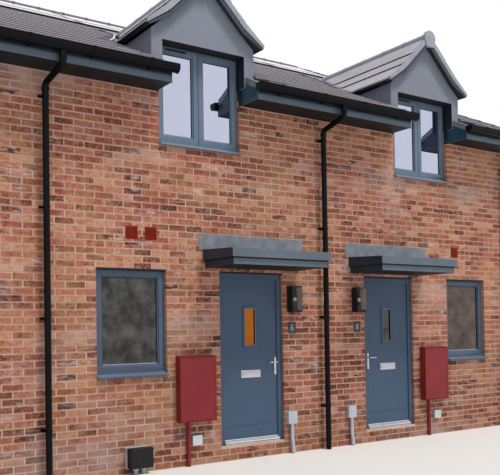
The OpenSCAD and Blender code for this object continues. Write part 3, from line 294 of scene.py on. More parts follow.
@dataclass(frozen=True)
class BrickFinish(Finish):
    """Sand-creased facing brick: each brick has its own red to buff, with a sandy rim and a redder middle.

    Burn, sand, salt and fleck each hold a noise's scale, the values between which its colour comes
    in, and the most of it. Stain holds a noise's scale, its thresholds on plain and on marked bricks,
    and its fade. Damp holds the heights between which the foot dries, and its share of light.
    """

    smudge: str = "#4d3336"
    bloom: str = "#cbb9b6"
    buff: str = "#b98c60"
    ramp: tuple[tuple[float, str], ...] = (
        (0.0, "#612a20"), (1.0, "#bb8a73"), (0.2, "#803c2d"), (0.8, "#ae6854"))
    drift: float = 0.3
    burn: Row = (1.1, 0.63, 0.81, 0.45)
    sand: Row = (70.0, 0.5, 0.7, 0.6)
    stain: Row = (19.0, 0.75, 0.42, 0.17)
    salt: Row = (1.3, 0.53, 0.68, 0.5)
    fleck: Row = (5.5, 0.59, 0.67, 0.65)
    damp: Row = (-0.5, 1.3, 0.74)

    def surface(self, tree: Tree) -> Node:
        """Builds the nodes and returns the shader."""
        add = partial(add_node, tree)
        place = add("ShaderNodeTexCoord").outputs["Object"]
        tone, mark, rim = (add("ShaderNodeAttribute", attribute_name=label).outputs["Fac"]
                           for label in ("tone", "mark", "rim"))
        # Each brick is cut from another place in the clay, so no cloud runs on into its neighbour
        own = add("ShaderNodeVectorMath", {0: (37.0, 11.0, 23.0), 1: mark, 2: place}, operation="MULTIPLY_ADD")
        cloud = add("ShaderNodeTexNoise", {
            "Vector": own, "Scale": 1000 / self.patch_mm, "Detail": 5.0, "Roughness": 0.65})
        drift = add("ShaderNodeMapRange", {
            "Value": cloud, "From Min": 0.3, "From Max": 0.7, "To Min": -self.drift, "To Max": self.drift})
        where = add("ShaderNodeMath", {0: tone, 1: drift}, operation="ADD")
        body = add("ShaderNodeValToRGB", {"Fac": where}, stops=(*self.ramp, (0.5, self.colour))).outputs[0]
        # Parts of the load burned to a yellower buff
        spread = add("ShaderNodeTexNoise", {
            "Vector": place, "Scale": self.burn[0], "Detail": 6.0, "Roughness": 0.7})
        turned = add("ShaderNodeMath", {0: cloud, 1: 0.35, 2: spread}, operation="MULTIPLY_ADD")
        # The sand that coats the clay in the mould stays thickest along the arrises
        sand = add("ShaderNodeTexNoise", {"Vector": own, "Scale": self.sand[0], "Detail": 4.0})
        coat = add("ShaderNodeMath", {0: rim, 1: 0.12, 2: sand}, operation="MULTIPLY_ADD")
        layers = ((turned, self.burn, self.buff), (coat, self.sand, self.other))
        for value, (_, low, high, most), code in layers:
            share = add("ShaderNodeMapRange", {
                "Value": value, "From Min": low, "From Max": high, "To Max": most})
            body = add("ShaderNodeMix", {0: share, 6: body, 7: linear(code)}, data_type="RGBA").outputs[2]
        # Dark smudges from the kiln lie along the bed, widest on a few bricks
        scale, least, most, edge = self.stain
        dark = add("ShaderNodeMapRange", {
            "Value": mark, "From Min": 0.84, "From Max": 0.94, "To Min": least, "To Max": most})
        flat = add("ShaderNodeMapping", {"Vector": own, "Scale": (0.6, 0.6, 1.7)})
        streak = add("ShaderNodeTexNoise", {"Vector": flat, "Scale": scale, "Detail": 7.0})
        over = add("ShaderNodeMath", {0: streak, 1: dark}, operation="SUBTRACT")
        stain = add("ShaderNodeMapRange", {"Value": over, "From Max": edge})
        body = add("ShaderNodeMix", {0: stain, 6: body, 7: linear(self.smudge)}, data_type="RGBA").outputs[2]
        # Efflorescence: salts dried out of the new wall in wide clouds and in small, stronger flecks
        drawn = add("ShaderNodeMapping", {"Vector": place, "Scale": (0.5, 0.5, 1.5)})
        # The wide clouds come last, because the damp below follows them
        salts = []
        for (scale, low, high, most), detail, rough in ((self.fleck, 8.0, 0.68), (self.salt, 9.0, 0.66)):
            wide = add("ShaderNodeTexNoise", {
                "Vector": drawn, "Scale": scale, "Detail": detail, "Roughness": rough})
            salts.append(add("ShaderNodeMapRange", {
                "Value": wide, "From Min": low, "From Max": high, "To Max": most}))
        salt = add("ShaderNodeMath", dict(enumerate(salts)), operation="MAXIMUM")
        body = add("ShaderNodeMix", {0: salt, 6: body, 7: linear(self.bloom)}, data_type="RGBA").outputs[2]
        # Splashed by the rain, the foot of the wall stays damp and deeper in colour
        height = add("ShaderNodeSeparateXYZ", {"Vector": place}).outputs[2]
        edge = add("ShaderNodeMath", {0: height, 1: wide}, operation="SUBTRACT")
        damp = add("ShaderNodeMapRange", {
            "Value": edge, "From Min": self.damp[0], "From Max": self.damp[1], "To Min": self.damp[2]})
        body = add("ShaderNodeVectorMath", {0: body, "Scale": damp}, operation="SCALE")
        creases = add("ShaderNodeTexNoise", {"Vector": own, "Scale": 1000 / self.grain_mm, "Detail": 4.0})
        bump = add("ShaderNodeBump", {"Strength": 0.8, "Distance": self.relief_mm * MM, "Height": creases})
        return add("ShaderNodeBsdfPrincipled", {
            "Base Color": body, "Roughness": self.roughness, "Specular IOR Level": self.shine,
            "Normal": bump})


@dataclass(frozen=True)
class GlassFinish(Finish):
    """Float glass over a dark room, with a metallic layer in the other colour that paints a reflection of the sky
    over part of it.
    """

    relief_mm: float = 0.3
    roughness: float = 0.0
    mirror: float = 0.1
    uneven: float = 0.0
    ior: float = 1.5

    def surface(self, tree: Tree) -> Node:
        """Builds the nodes and returns the shader."""
        add = partial(add_node, tree)
        place = add("ShaderNodeTexCoord").outputs["Object"]
        # Toughened panes are never quite flat: a long, shallow wave
        wave = add("ShaderNodeTexNoise", {"Vector": place, "Scale": 1000 / self.patch_mm, "Detail": 1.0})
        bump = add("ShaderNodeBump", {"Strength": 0.2, "Distance": self.relief_mm * MM, "Height": wave})
        pane = add("ShaderNodeBsdfPrincipled", {
            "Base Color": linear(self.colour), "Roughness": self.roughness, "IOR": self.ior,
            "Transmission Weight": 1.0, "Normal": bump})
        # The metallic layer's colour is a painted reflection
        coat = add("ShaderNodeBsdfPrincipled", {
            "Base Color": linear(self.other), "Roughness": self.roughness, "Metallic": 1.0, "Normal": bump})
        # The painted reflection's share varies in patches
        reflection_patches = add("ShaderNodeTexNoise", {"Vector": place, "Scale": 5.0, "Detail": 7.0, "Roughness": 0.6})
        share = add("ShaderNodeMapRange", {
            "Value": reflection_patches, "From Min": 0.35, "From Max": 0.65, "To Min": self.mirror - self.uneven,
            "To Max": self.mirror + self.uneven})
        return add("ShaderNodeMixShader", {0: share, 1: pane, 2: coat})


@dataclass(frozen=True)
class DoorFinish(Finish):
    """Grained, foil-faced door skin: long upright pores in a satin slate blue."""

    drawn: Triple = (1.0, 1.0, 0.05)
    warp: Triple = (0.06, 0.06, 0.0)
    pores: Pair = (0.42, 0.62)

    def surface(self, tree: Tree) -> Node:
        """Builds the nodes and returns the shader."""
        add = partial(add_node, tree)
        place = add("ShaderNodeTexCoord").outputs["Object"]
        long = add("ShaderNodeMapping", {"Vector": place, "Scale": self.drawn})
        warp = add("ShaderNodeTexNoise", {"Vector": place, "Scale": 2.2, "Detail": 2.0})
        long = add("ShaderNodeVectorMath", {0: self.warp, 1: warp, 2: long}, operation="MULTIPLY_ADD")
        pores = add("ShaderNodeTexNoise", {
            "Vector": long, "Scale": 1000 / self.grain_mm, "Detail": 5.0, "Roughness": 0.7})
        cloud = add("ShaderNodeTexNoise", {"Vector": place, "Scale": 1000 / self.patch_mm, "Detail": 3.0})
        mask = add("ShaderNodeMapRange", {
            "Value": pores, "From Min": self.pores[0], "From Max": self.pores[1]})
        colour = add("ShaderNodeMix", {
            0: mask, 6: linear(self.colour), 7: linear(self.other)}, data_type="RGBA").outputs[2]
        gloss = add("ShaderNodeMapRange", {
            "Value": cloud, "To Min": self.roughness - self.spread, "To Max": self.roughness + self.spread})
        bump = add("ShaderNodeBump", {"Strength": 0.6, "Distance": self.relief_mm * MM, "Height": pores})
        return add("ShaderNodeBsdfPrincipled", {
            "Base Color": colour, "Roughness": gloss, "Specular IOR Level": self.shine, "Normal": bump})


@dataclass(frozen=True)
class CellFinish(Finish):
    """Solar glass over dark cells, with the fine pale lines of the cells' contacts, a grain apart."""

    deep: str = "#0d1730"
    line: float = 0.06

    def surface(self, tree: Tree) -> Node:
        """Builds the nodes and returns the shader."""
        add = partial(add_node, tree)
        place = add("ShaderNodeTexCoord").outputs["Object"]
        along = add("ShaderNodeSeparateXYZ", {"Vector": place})
        turns = add("ShaderNodeMath", {0: along, 1: 1000 / self.grain_mm}, operation="MULTIPLY")
        part = add("ShaderNodeMath", {0: turns}, operation="FRACT")
        line = add("ShaderNodeMath", {0: part, 1: self.line}, operation="LESS_THAN")
        tint = add("ShaderNodeTexNoise", {"Vector": place, "Scale": 1000 / self.patch_mm})
        cell = add("ShaderNodeMix", {
            0: tint, 6: linear(self.colour), 7: linear(self.deep)}, data_type="RGBA").outputs[2]
        colour = add("ShaderNodeMix", {0: line, 6: cell, 7: linear(self.other)}, data_type="RGBA").outputs[2]
        return add("ShaderNodeBsdfPrincipled", {
            "Base Color": colour, "Roughness": self.roughness, "IOR": 1.5, "Coat Weight": 1.0,
            "Coat Roughness": 0.04})

# The numbers after the colours are the patches, grain and relief in millimetres and the roughness

# Sand-faced clay brick: dull, gritty, every brick fired to another red
BRICK = BrickFinish("sand-faced clay brick", "#9b4f3d", "#c9a489", 70, 9, 2.5, 0.9, shine=0.25)
# Lime-rich buff mortar, brushed flush: pale and matt with visible sand
MORTAR = Finish("brushed buff mortar", "#cfb3a2", "#be9d8d", 420, 4, 0.8, 0.95)
# Pressed concrete slates, smooth with a fine sand: grey-mauve, each a shade of its own, with tails painted pale as a
# highlight
TILE = Finish("smooth concrete roof tile", "#4b4852", "#5c5863", 160, 7, 0.5, 0.7, shine=0.3, tones=0.06,
              rim_highlight="#b9b2ba")
# The dormers' tiles: the same concrete, bleached pale, smooth enough for a soft sheen
DORMER_TILE = Finish("smooth concrete dormer tile", "#b0adb6", "#bdbac2", 240, 7, 0.4, 0.6, shine=0.35,
                     tones=0.05)
# Ridge tiles and verge caps of the main roof: plain mid-grey concrete, each a shade of its own
RIDGE = Finish("angular concrete ridge", "#5f6168", "#6e7077", 180, 7, 0.5, 0.7, shine=0.35, tones=0.08)
# Dry-fixed verge and ridge mouldings of the dormers: pale grey, smooth, a little weathered
VERGE_CAP = Finish("pale moulded verge cap", "#969ba5", "#a3a7b0", 200, 5, 0.2, 0.55, shine=0.35, tones=0.05)
# Undercloak boards below the verges: the windows' slate foil in shade
UNDERCLOAK = Finish("slate undercloak board", "#3a4452", "#434d5c", 300, 4, 0.08, 0.5, shine=0.3)
# Breathable felt and battens under the tiles: only ever seen in the gaps
UNDERLAY = Finish("roof underlay felt", "#2f3033", "#26272a", 90, 3, 0.2, 0.9)
# Through-coloured scraped render: flat grey with a fine even grit
RENDER = Finish("scraped grey render", "#7f8492", "#858a98", 900, 6, 0.9, 0.92)
# Milled lead, dressed by hand: soft grey sheen, brighter where it was beaten
LEAD = Finish("dressed sheet lead", "#6f757f", "#858b95", 120, 25, 1.6, 0.5, metallic=0.35)
# Valley lead, dressed smooth and painted pale as a highlight
VALLEY = Finish("rain-washed valley lead", "#b9bec7", "#c8ccd3", 150, 20, 1.0, 0.45)
# Foil-faced window profile: satin slate with a very fine grain
FRAME = Finish("satin slate window foil", "#5d6f82", "#66788b", 400, 3, 0.08, 0.45, shine=0.4)
# The same foil low on the wall, darkened as the painted shade of the reveals
PAINTED_SHADE_FRAME = Finish("shaded slate window foil", "#45546a", "#4e5e74", 400, 3, 0.08, 0.4, shine=0.35)
# Front edge of the upper sills: the same foil, painted paler as a highlight
SILL_HIGHLIGHT = Finish("rubbed sill edge", "#707d8e", "#7d8a9a", 300, 3, 0.08, 0.45, shine=0.4)
# Sloped bottom bead of each window pane, painted pale as a highlight where it faces the sky; the doors' pane beads
# take the same colour
BEAD = Finish("satin glazing bead", "#8e9bac", "#98a5b5", 300, 3, 0.05, 0.4, shine=0.4)
# Dark slate board of the lintels' toes and beside the dormers; the same colour is painted shade on the sides of the
# dormers' reveals
REVEAL = Finish("dark slate lining board", "#181e27", "#202731", 260, 4, 0.08, 0.6, shine=0.25)
# EPDM glazing gasket: black, dead matt; the same black is painted shade on tile tails, verge bands, reveal heads,
# canopy lines and the panels' apron
GASKET_AND_SHADE = Finish("glazing gasket rubber", "#101114", "#17181b", 50, 2, 0.2, 0.8)
# Door skin: upright pores pressed in slate-blue foil, with a satin gloss that comes and goes
DOOR = DoorFinish("grained slate-blue door skin", "#3b5069", "#475c74", 500, 6, 0.5, 0.5, shine=0.35)
# Door frame: the skin's blue in a smooth foil, a shade darker
DOOR_FRAME = Finish("slate-blue door frame foil", "#3a4d64", "#44576e", 400, 3, 0.08, 0.45, shine=0.4)
# Extruded black PVC: glossy when new, a little dusty on top
RAINWATER = Finish("gloss black rainwater PVC", "#06080b", "#0a0c10", 350, 12, 0.05, 0.24, shine=0.11,
                   spread=0.08)
# Foiled PVC board: satin blue-grey, with the gutter's cast shadow painted dark along its head
FASCIA = Finish("blue-grey fascia board", "#4f5f6e", "#596978", 260, 4, 0.05, 0.4, shine=0.4,
                painted_shadow=(4.362, 4.388))
# Soffit boards and the canopies' undersides: dark slate, matt, and darker still as painted shade on faces that look
# down
SOFFIT = Finish("dark slate soffit board", "#14181d", "#1b1f25", 700, 4, 0.05, 0.6, shine=0.2)
# Boxed ends of the eaves: the fascia's board in navy
BOX_END = Finish("navy box-end board", "#14374b", "#1a4157", 260, 4, 0.05, 0.4, shine=0.35)
# Gel-coated glass fibre: smooth with soft reflections
CANOPY = Finish("gel-coated canopy moulding", "#54616f", "#5e6b79", 500, 30, 0.15, 0.4, shine=0.4)
# Ends of the canopies: the same gel coat, painted dark navy as the shade of faces that look sideways
CANOPY_SIDE_SHADE = Finish("navy canopy end cap", "#202d3c", "#293746", 300, 20, 0.15, 0.45, shine=0.3)
# Pressed glass-fibre meter box in oxide red, slightly orange-peeled
METER = Finish("oxide red moulded box", "#791a20", "#832328", 260, 7, 0.15, 0.45, shine=0.35)
# White plastic of thresholds and caps: a little grey from wear
WHITE = Finish("white threshold plastic", "#c8ccd4", "#bcbfc6", 140, 4, 0.08, 0.45)
# Satin stainless steel: brushed along its length
SATIN = Finish("brushed stainless steel", "#c9c9cc", "#b4b5ba", 40, 2, 0.04, 0.32, spread=0.08, metallic=1.0,
               stretch=(0.1, 1.0, 1.0))
# Vent plastic: deep terracotta, dull and even
TERRACOTTA = Finish("terracotta vent plastic", "#7c1a0c", "#882214", 60, 3, 0.2, 0.6, shine=0.2)
# Service boxes and ducts: pale grey plastic with a faint blue
BOX_GREY = Finish("light grey service plastic", "#b6bec7", "#aab2bb", 90, 4, 0.08, 0.5)
# Outlet box's cover and the lanterns' trays: black ABS
BOX_BLACK = Finish("black box cover plastic", "#0a0d13", "#10141b", 80, 3, 0.08, 0.5, shine=0.3)
# Pearl lamp bulb: opal glass, unlit
BULB = Finish("opal bulb glass", "#cfcdc6", "#c4c2bb", 40, 2, 0.02, 0.25)
# Sand-blasted side pane of a lantern: takes the colour of the wall behind it
SIDE_PANE = Finish("etched lantern side pane", "#d9b29e", "#e3c0ae", 60, 2, 0.02, 0.4)
# Lantern case: black powder coat with a very fine orange peel
LAMP_BLACK = Finish("black powder coat", "#0f1113", "#15171a", 60, 1.5, 0.1, 0.55, shine=0.3)
# Number plate: dark slate, honed flat
PLAQUE = Finish("honed dark slate", "#24272d", "#2e3138", 40, 3, 0.2, 0.55)
# Figures: pale paint, slightly uneven
DIGITS = Finish("engraved pale paint", "#d4d2cd", "#c6c4bf", 20, 2, 0.2, 0.6)
# Party walls inside: skimmed plaster, broad soft clouds
PLASTER = Finish("skimmed plaster wall", "#c9c6c0", "#bdbab4", 900, 8, 0.2, 0.9)
# Ground floor: concrete, power-floated, in broad grey patches
SLAB = Finish("power-floated concrete", "#8d8b87", "#7f7d79", 500, 5, 0.2, 0.8)
# First floor: chipboard with small flakes of two browns
DECK = Finish("chipboard floor deck", "#a98d66", "#94784f", 60, 4, 0.2, 0.75)
# Anodised black: dark from the front, mirror-like at a flat angle
ALUMINIUM = Finish("black anodised aluminium", "#14151a", "#1c1e24", 120, 3, 0.03, 0.3, metallic=1.0,
                   stretch=(0.1, 1.0, 1.0))
# Solar glass: near-black blue cells with fine pale contacts under a glossy coat
CELLS = CellFinish("solar glass", "#101a33", "#5b6273", patch_mm=160, grain_mm=26, roughness=0.12)
# Upper panes: a pale painted reflection of the bright sky over almost all of each pane
SKY_GLASS = GlassFinish("coated window glass", "#20242c", "#c6c9de", patch_mm=900, relief_mm=0.12,
                        mirror=0.93, uneven=0.02)
# Plain double glazing: nearly clear over a dark room, with a faint painted reflection in uneven patches
ROOM_GLASS = GlassFinish("clear window glass", "#2a2724", "#c0bcb8", patch_mm=500, mirror=0.06, uneven=0.09)
# The same glass with a warm brown tint over the room and a stronger, more uneven warm painted reflection
WARM_GLASS = GlassFinish("dusty window glass", "#33271f", "#b09080", patch_mm=500, mirror=0.15, uneven=0.12)
# Laminated door glass: dark, a little wavy, with a faint painted reflection in patches
DOOR_GLASS = GlassFinish("frosted door glass", "#1b1916", "#b9b2a8", patch_mm=160, relief_mm=0.8,
                         roughness=0.05, mirror=0.06, uneven=0.06)
# The first door's pane: the same glass over a dark amber tint, with a strong painted orange reflection
ORANGE_REFLECTION_GLASS = GlassFinish("amber door glass", "#3a1d05", "#ad6115", patch_mm=160, relief_mm=0.5,
                          roughness=0.05, mirror=0.78, uneven=0.1)
# Lantern panes: thin clear glass
LAMP_GLASS = GlassFinish("clear lantern glass", "#e8eef0", "#dfe4e6", patch_mm=200, mirror=0.012, ior=1.12)
# Studio floor: pale, matt and flat
FLOOR = Finish("pale studio floor", "#e4e3e0", "#e0dfdc", 4000, 40, 0.0, 0.9, spread=0.05)


# ---- Shapes


def skin(count: int) -> list[tuple[int, ...]]:
    """Returns the faces of a solid between two outlines of as many points: its ends, then its sides."""
    sides = [(i, count + i, count + (i + 1) % count, (i + 1) % count) for i in range(count)]
    return [tuple(range(count)), tuple(range(2 * count - 1, count - 1, -1)), *sides]


class Shape:
    """A mesh being built: corners, faces, and the number of each face's finish."""

    def __init__(self) -> None:
        """Starts empty."""
        self.corners: list[Vector] = []
        self.faces: list[tuple[int, ...]] = []
        self.inks: list[int] = []
        self.marks: dict[str, list[float]] = {}

    def add(self, corners: Iterable[Point], faces: Sequence[Sequence[int]],
            ink: int | Sequence[int] = 0) -> "Shape":
        """Adds one closed solid, of one finish or of one finish number for each face, and returns the shape."""
        first = len(self.corners)
        self.corners.extend(Vector(c) for c in corners)
        self.faces.extend(tuple(first + i for i in face) for face in faces)
        self.inks.extend([ink] * len(faces) if isinstance(ink, int) else ink)
        return self

    def box(self, low: Point, high: Point, ink: int = 0) -> "Shape":
        """Adds a box between two corners and returns the shape."""
        corners = [(x, y, z) for z, y, x in product(*((low[i], high[i]) for i in (2, 1, 0)))]
        faces = ((0, 2, 3, 1), (4, 5, 7, 6), (0, 1, 5, 4), (2, 6, 7, 3), (0, 4, 6, 2), (1, 3, 7, 5))
        return self.add(corners, faces, ink)

    def prism(self, outline: Outline, axis: str, start: float, end: float, ink: int = 0) -> "Shape":
        """Draws an outline out along x or y and returns the shape."""
        corners = [(d, u, v) if axis == "x" else (u, d, v) for d in (start, end) for u, v in outline]
        return self.add(corners, skin(len(outline)), ink)

    def ring(self, low: Point, high: Point, face: float, ink: int = 0) -> "Shape":
        """Adds a rectangular frame in the XZ plane, mitred at its corners, and returns the shape."""
        (x0, y0, z0), (x1, y1, z1) = low, high
        outer = [(x0, z0), (x1, z0), (x1, z1), (x0, z1)]
        inner = [(x0 + face, z0 + face), (x1 - face, z0 + face), (x1 - face, z1 - face), (x0 + face, z1 - face)]
        corners = [(x, y, z) for y in (y0, y1) for x, z in outer + inner]
        faces = []
        for i in range(4):
            j = (i + 1) % 4
            faces += [(i, j, 4 + j, 4 + i), (8 + i, 12 + i, 12 + j, 8 + j), (i, 8 + i, 8 + j, j),
                      (4 + i, 4 + j, 12 + j, 12 + i)]
        return self.add(corners, faces, ink)

    def tube(self, path: Sequence[Point], radius: float | Sequence[float], sides: int = 20) -> "Shape":
        """Sweeps a circle, with one radius or one for each point, along a path and returns the shape."""
        points = [Vector(p) for p in path]
        radii = [radius] * len(points) if isinstance(radius, float) else radius
        across = (points[1] - points[0]).orthogonal().normalized()
        corners = []
        for i, point in enumerate(points):
            ahead = (points[min(i + 1, len(points) - 1)] - points[max(i - 1, 0)]).normalized()
            across = (across - ahead * across.dot(ahead)).normalized()
            other = ahead.cross(across)
            for angle in (2 * math.pi * k / sides for k in range(sides)):
                corners.append(point + (across * math.cos(angle) + other * math.sin(angle)) * radii[i])
        faces = [tuple(range(sides)), tuple(len(corners) - 1 - k for k in range(sides))]
        for i, k in product(range(len(points) - 1), range(sides)):
            a, b = i * sides + k, i * sides + (k + 1) % sides
            faces.append((a, a + sides, b + sides, b))
        return self.add(corners, faces)

    def placed(self, place: Matrix) -> "Shape":
        """Returns a copy moved by a matrix."""
        copy = Shape()
        copy.corners = [place @ c for c in self.corners]
        copy.faces, copy.inks = list(self.faces), list(self.inks)
        copy.marks = {label: list(values) for label, values in self.marks.items()}
        return copy

    def join(self, *others: "Shape") -> "Shape":
        """Adds other shapes, keeps their finish numbers and returns the shape."""
        for other in others:
            first = len(self.corners)
            for label in {*self.marks, *other.marks}:
                mine = self.marks.setdefault(label, [0.0] * first)
                mine += other.marks.get(label, [0.0] * len(other.corners))
            self.corners.extend(other.corners)
            self.faces.extend(tuple(first + i for i in face) for face in other.faces)
            self.inks.extend(other.inks)
        return self

    def repeated(self, places: Iterable[Matrix]) -> "Shape":
        """Returns one shape with a copy at each place."""
        return Shape().join(*(self.placed(place) for place in places))

    def mesh(self, name: str) -> bpy.types.Mesh:
        """Returns a Blender mesh with faces that point outwards."""
        made = bpy.data.meshes.new(name)
        made.from_pydata([c[:] for c in self.corners], [], self.faces)
        made.polygons.foreach_set("material_index", self.inks)
        for label, values in self.marks.items():
            made.attributes.new(label, "FLOAT", "POINT").data.foreach_set("value", values)
        turned = bmesh.new()
        turned.from_mesh(made)
        bmesh.ops.recalc_face_normals(turned, faces=turned.faces)
        turned.to_mesh(made)
        turned.free()
        return made


def arc(centre: Point, radius: float, start: float, end: float, count: int) -> list[Pair]:
    """Returns points of a flat arc between two angles in degrees."""
    turns = [math.radians(start + (end - start) * i / count) for i in range(count + 1)]
    return [(centre[0] + radius * math.cos(t), centre[1] + radius * math.sin(t)) for t in turns]


def ridge_tile(past: float, steps: int, *rings: Rect) -> Shape:
    """Returns a ridge tile along x.

    Args:
        past: degrees by which it is more than half round.
        steps: straight pieces of its arc.
        rings: radius, thickness, start and end of the tile and of its collar.

    Returns:
        The tile's shape.
    """
    shape = Shape()
    for radius, thick, x0, x1 in rings:
        outline = arc((0, 0), radius, -past, 180 + past, steps)
        shape.prism(outline + arc((0, 0), radius - thick, 180 + past, -past, steps), "x", x0, x1)
    return shape


def show(name: str, shape: Shape | bpy.types.Mesh, finishes: Sequence[Finish], slot: str,
         body: str = "building", replaces: Sequence[str] = (), round_mm: float = 0.0) -> None:
    """Puts a shape or a finished mesh in the scene as one piece that rides on a body.

    Args:
        name: the piece's name.
        shape: its shape or mesh, in the row's own place.
        finishes: one finish for each finish number.
        slot: material slot of the record, not used.
        body: body of the frame that carries it.
        replaces: nodes of the frame that it stands for.
        round_mm: width of the rounding along sharp edges.
    """
    mesh = shape.mesh(name) if isinstance(shape, Shape) else shape
    inks = [face.material_index for face in mesh.polygons]
    mesh.materials.clear()
    for finish in finishes:
        mesh.materials.append(finish.material())
    mesh.polygons.foreach_set("material_index", inks)
    mesh.polygons.foreach_set("use_smooth", [True] * len(mesh.polygons))
    mesh.set_sharp_from_angle(angle=CREASE)
    piece = bpy.data.objects.new(name, mesh)
    bpy.context.scene.collection.objects.link(piece)
    if round_mm:
        bevel = piece.modifiers.new("rounding", "BEVEL")
        bevel.width, bevel.segments, bevel.harden_normals = round_mm * MM, 2, True
        bevel.limit_method, bevel.angle_limit = "ANGLE", CREASE
    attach(piece, body)
    if replaces:
        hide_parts(*replaces)
    LOG.info("%s: %d faces", name, len(mesh.polygons))


def dress(finish: Finish, *nodes: str) -> None:
    """Gives nodes of the frame a finish."""
    for node in nodes:
        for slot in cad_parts[node].material_slots:
            slot.material = finish.material()


def softened(name: str, node: str, finish: Finish | Sequence[Finish], slot: str, round_mm: float,
             body: str = "building", pick: Callable[[Vector, Vector], int] | None = None) -> None:
    """Shows a frame node's own shape with rounded edges in the node's place.

    Args:
        name: the piece's name.
        node: node of the frame that it copies and replaces.
        finish: its finish, or several of them.
        slot: material slot of the record.
        round_mm: width of the rounding.
        body: body that carries it.
        pick: gives a face's finish number from its middle and direction, or -1 to leave its solid out.
    """
    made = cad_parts[node].data.copy()
    merged = bmesh.new()
    merged.from_mesh(made)
    bmesh.ops.remove_doubles(merged, verts=merged.verts, dist=WELD)
    bmesh.ops.dissolve_limit(merged, angle_limit=math.radians(0.5), verts=merged.verts, edges=merged.edges)
    for face in merged.faces:
        ink = pick(face.calc_center_median(), face.normal) if pick else 0
        face.material_index = max(ink, 0)
        face.tag = ink < 0
    bmesh.ops.delete(merged, geom=[f for f in merged.faces if f.tag], context="FACES")
    merged.to_mesh(made)
    merged.free()
    made.name = name
    finishes = [finish] if isinstance(finish, Finish) else finish
    show(name, made, finishes, slot, body, [node], round_mm)


# ---- Repeated pieces


@dataclass
class Spot:
    """Place, turn and size of one repeated unit."""

    at: Point
    turn: Point = (0.0, 0.0, 0.0)
    size: Point = (1.0, 1.0, 1.0)


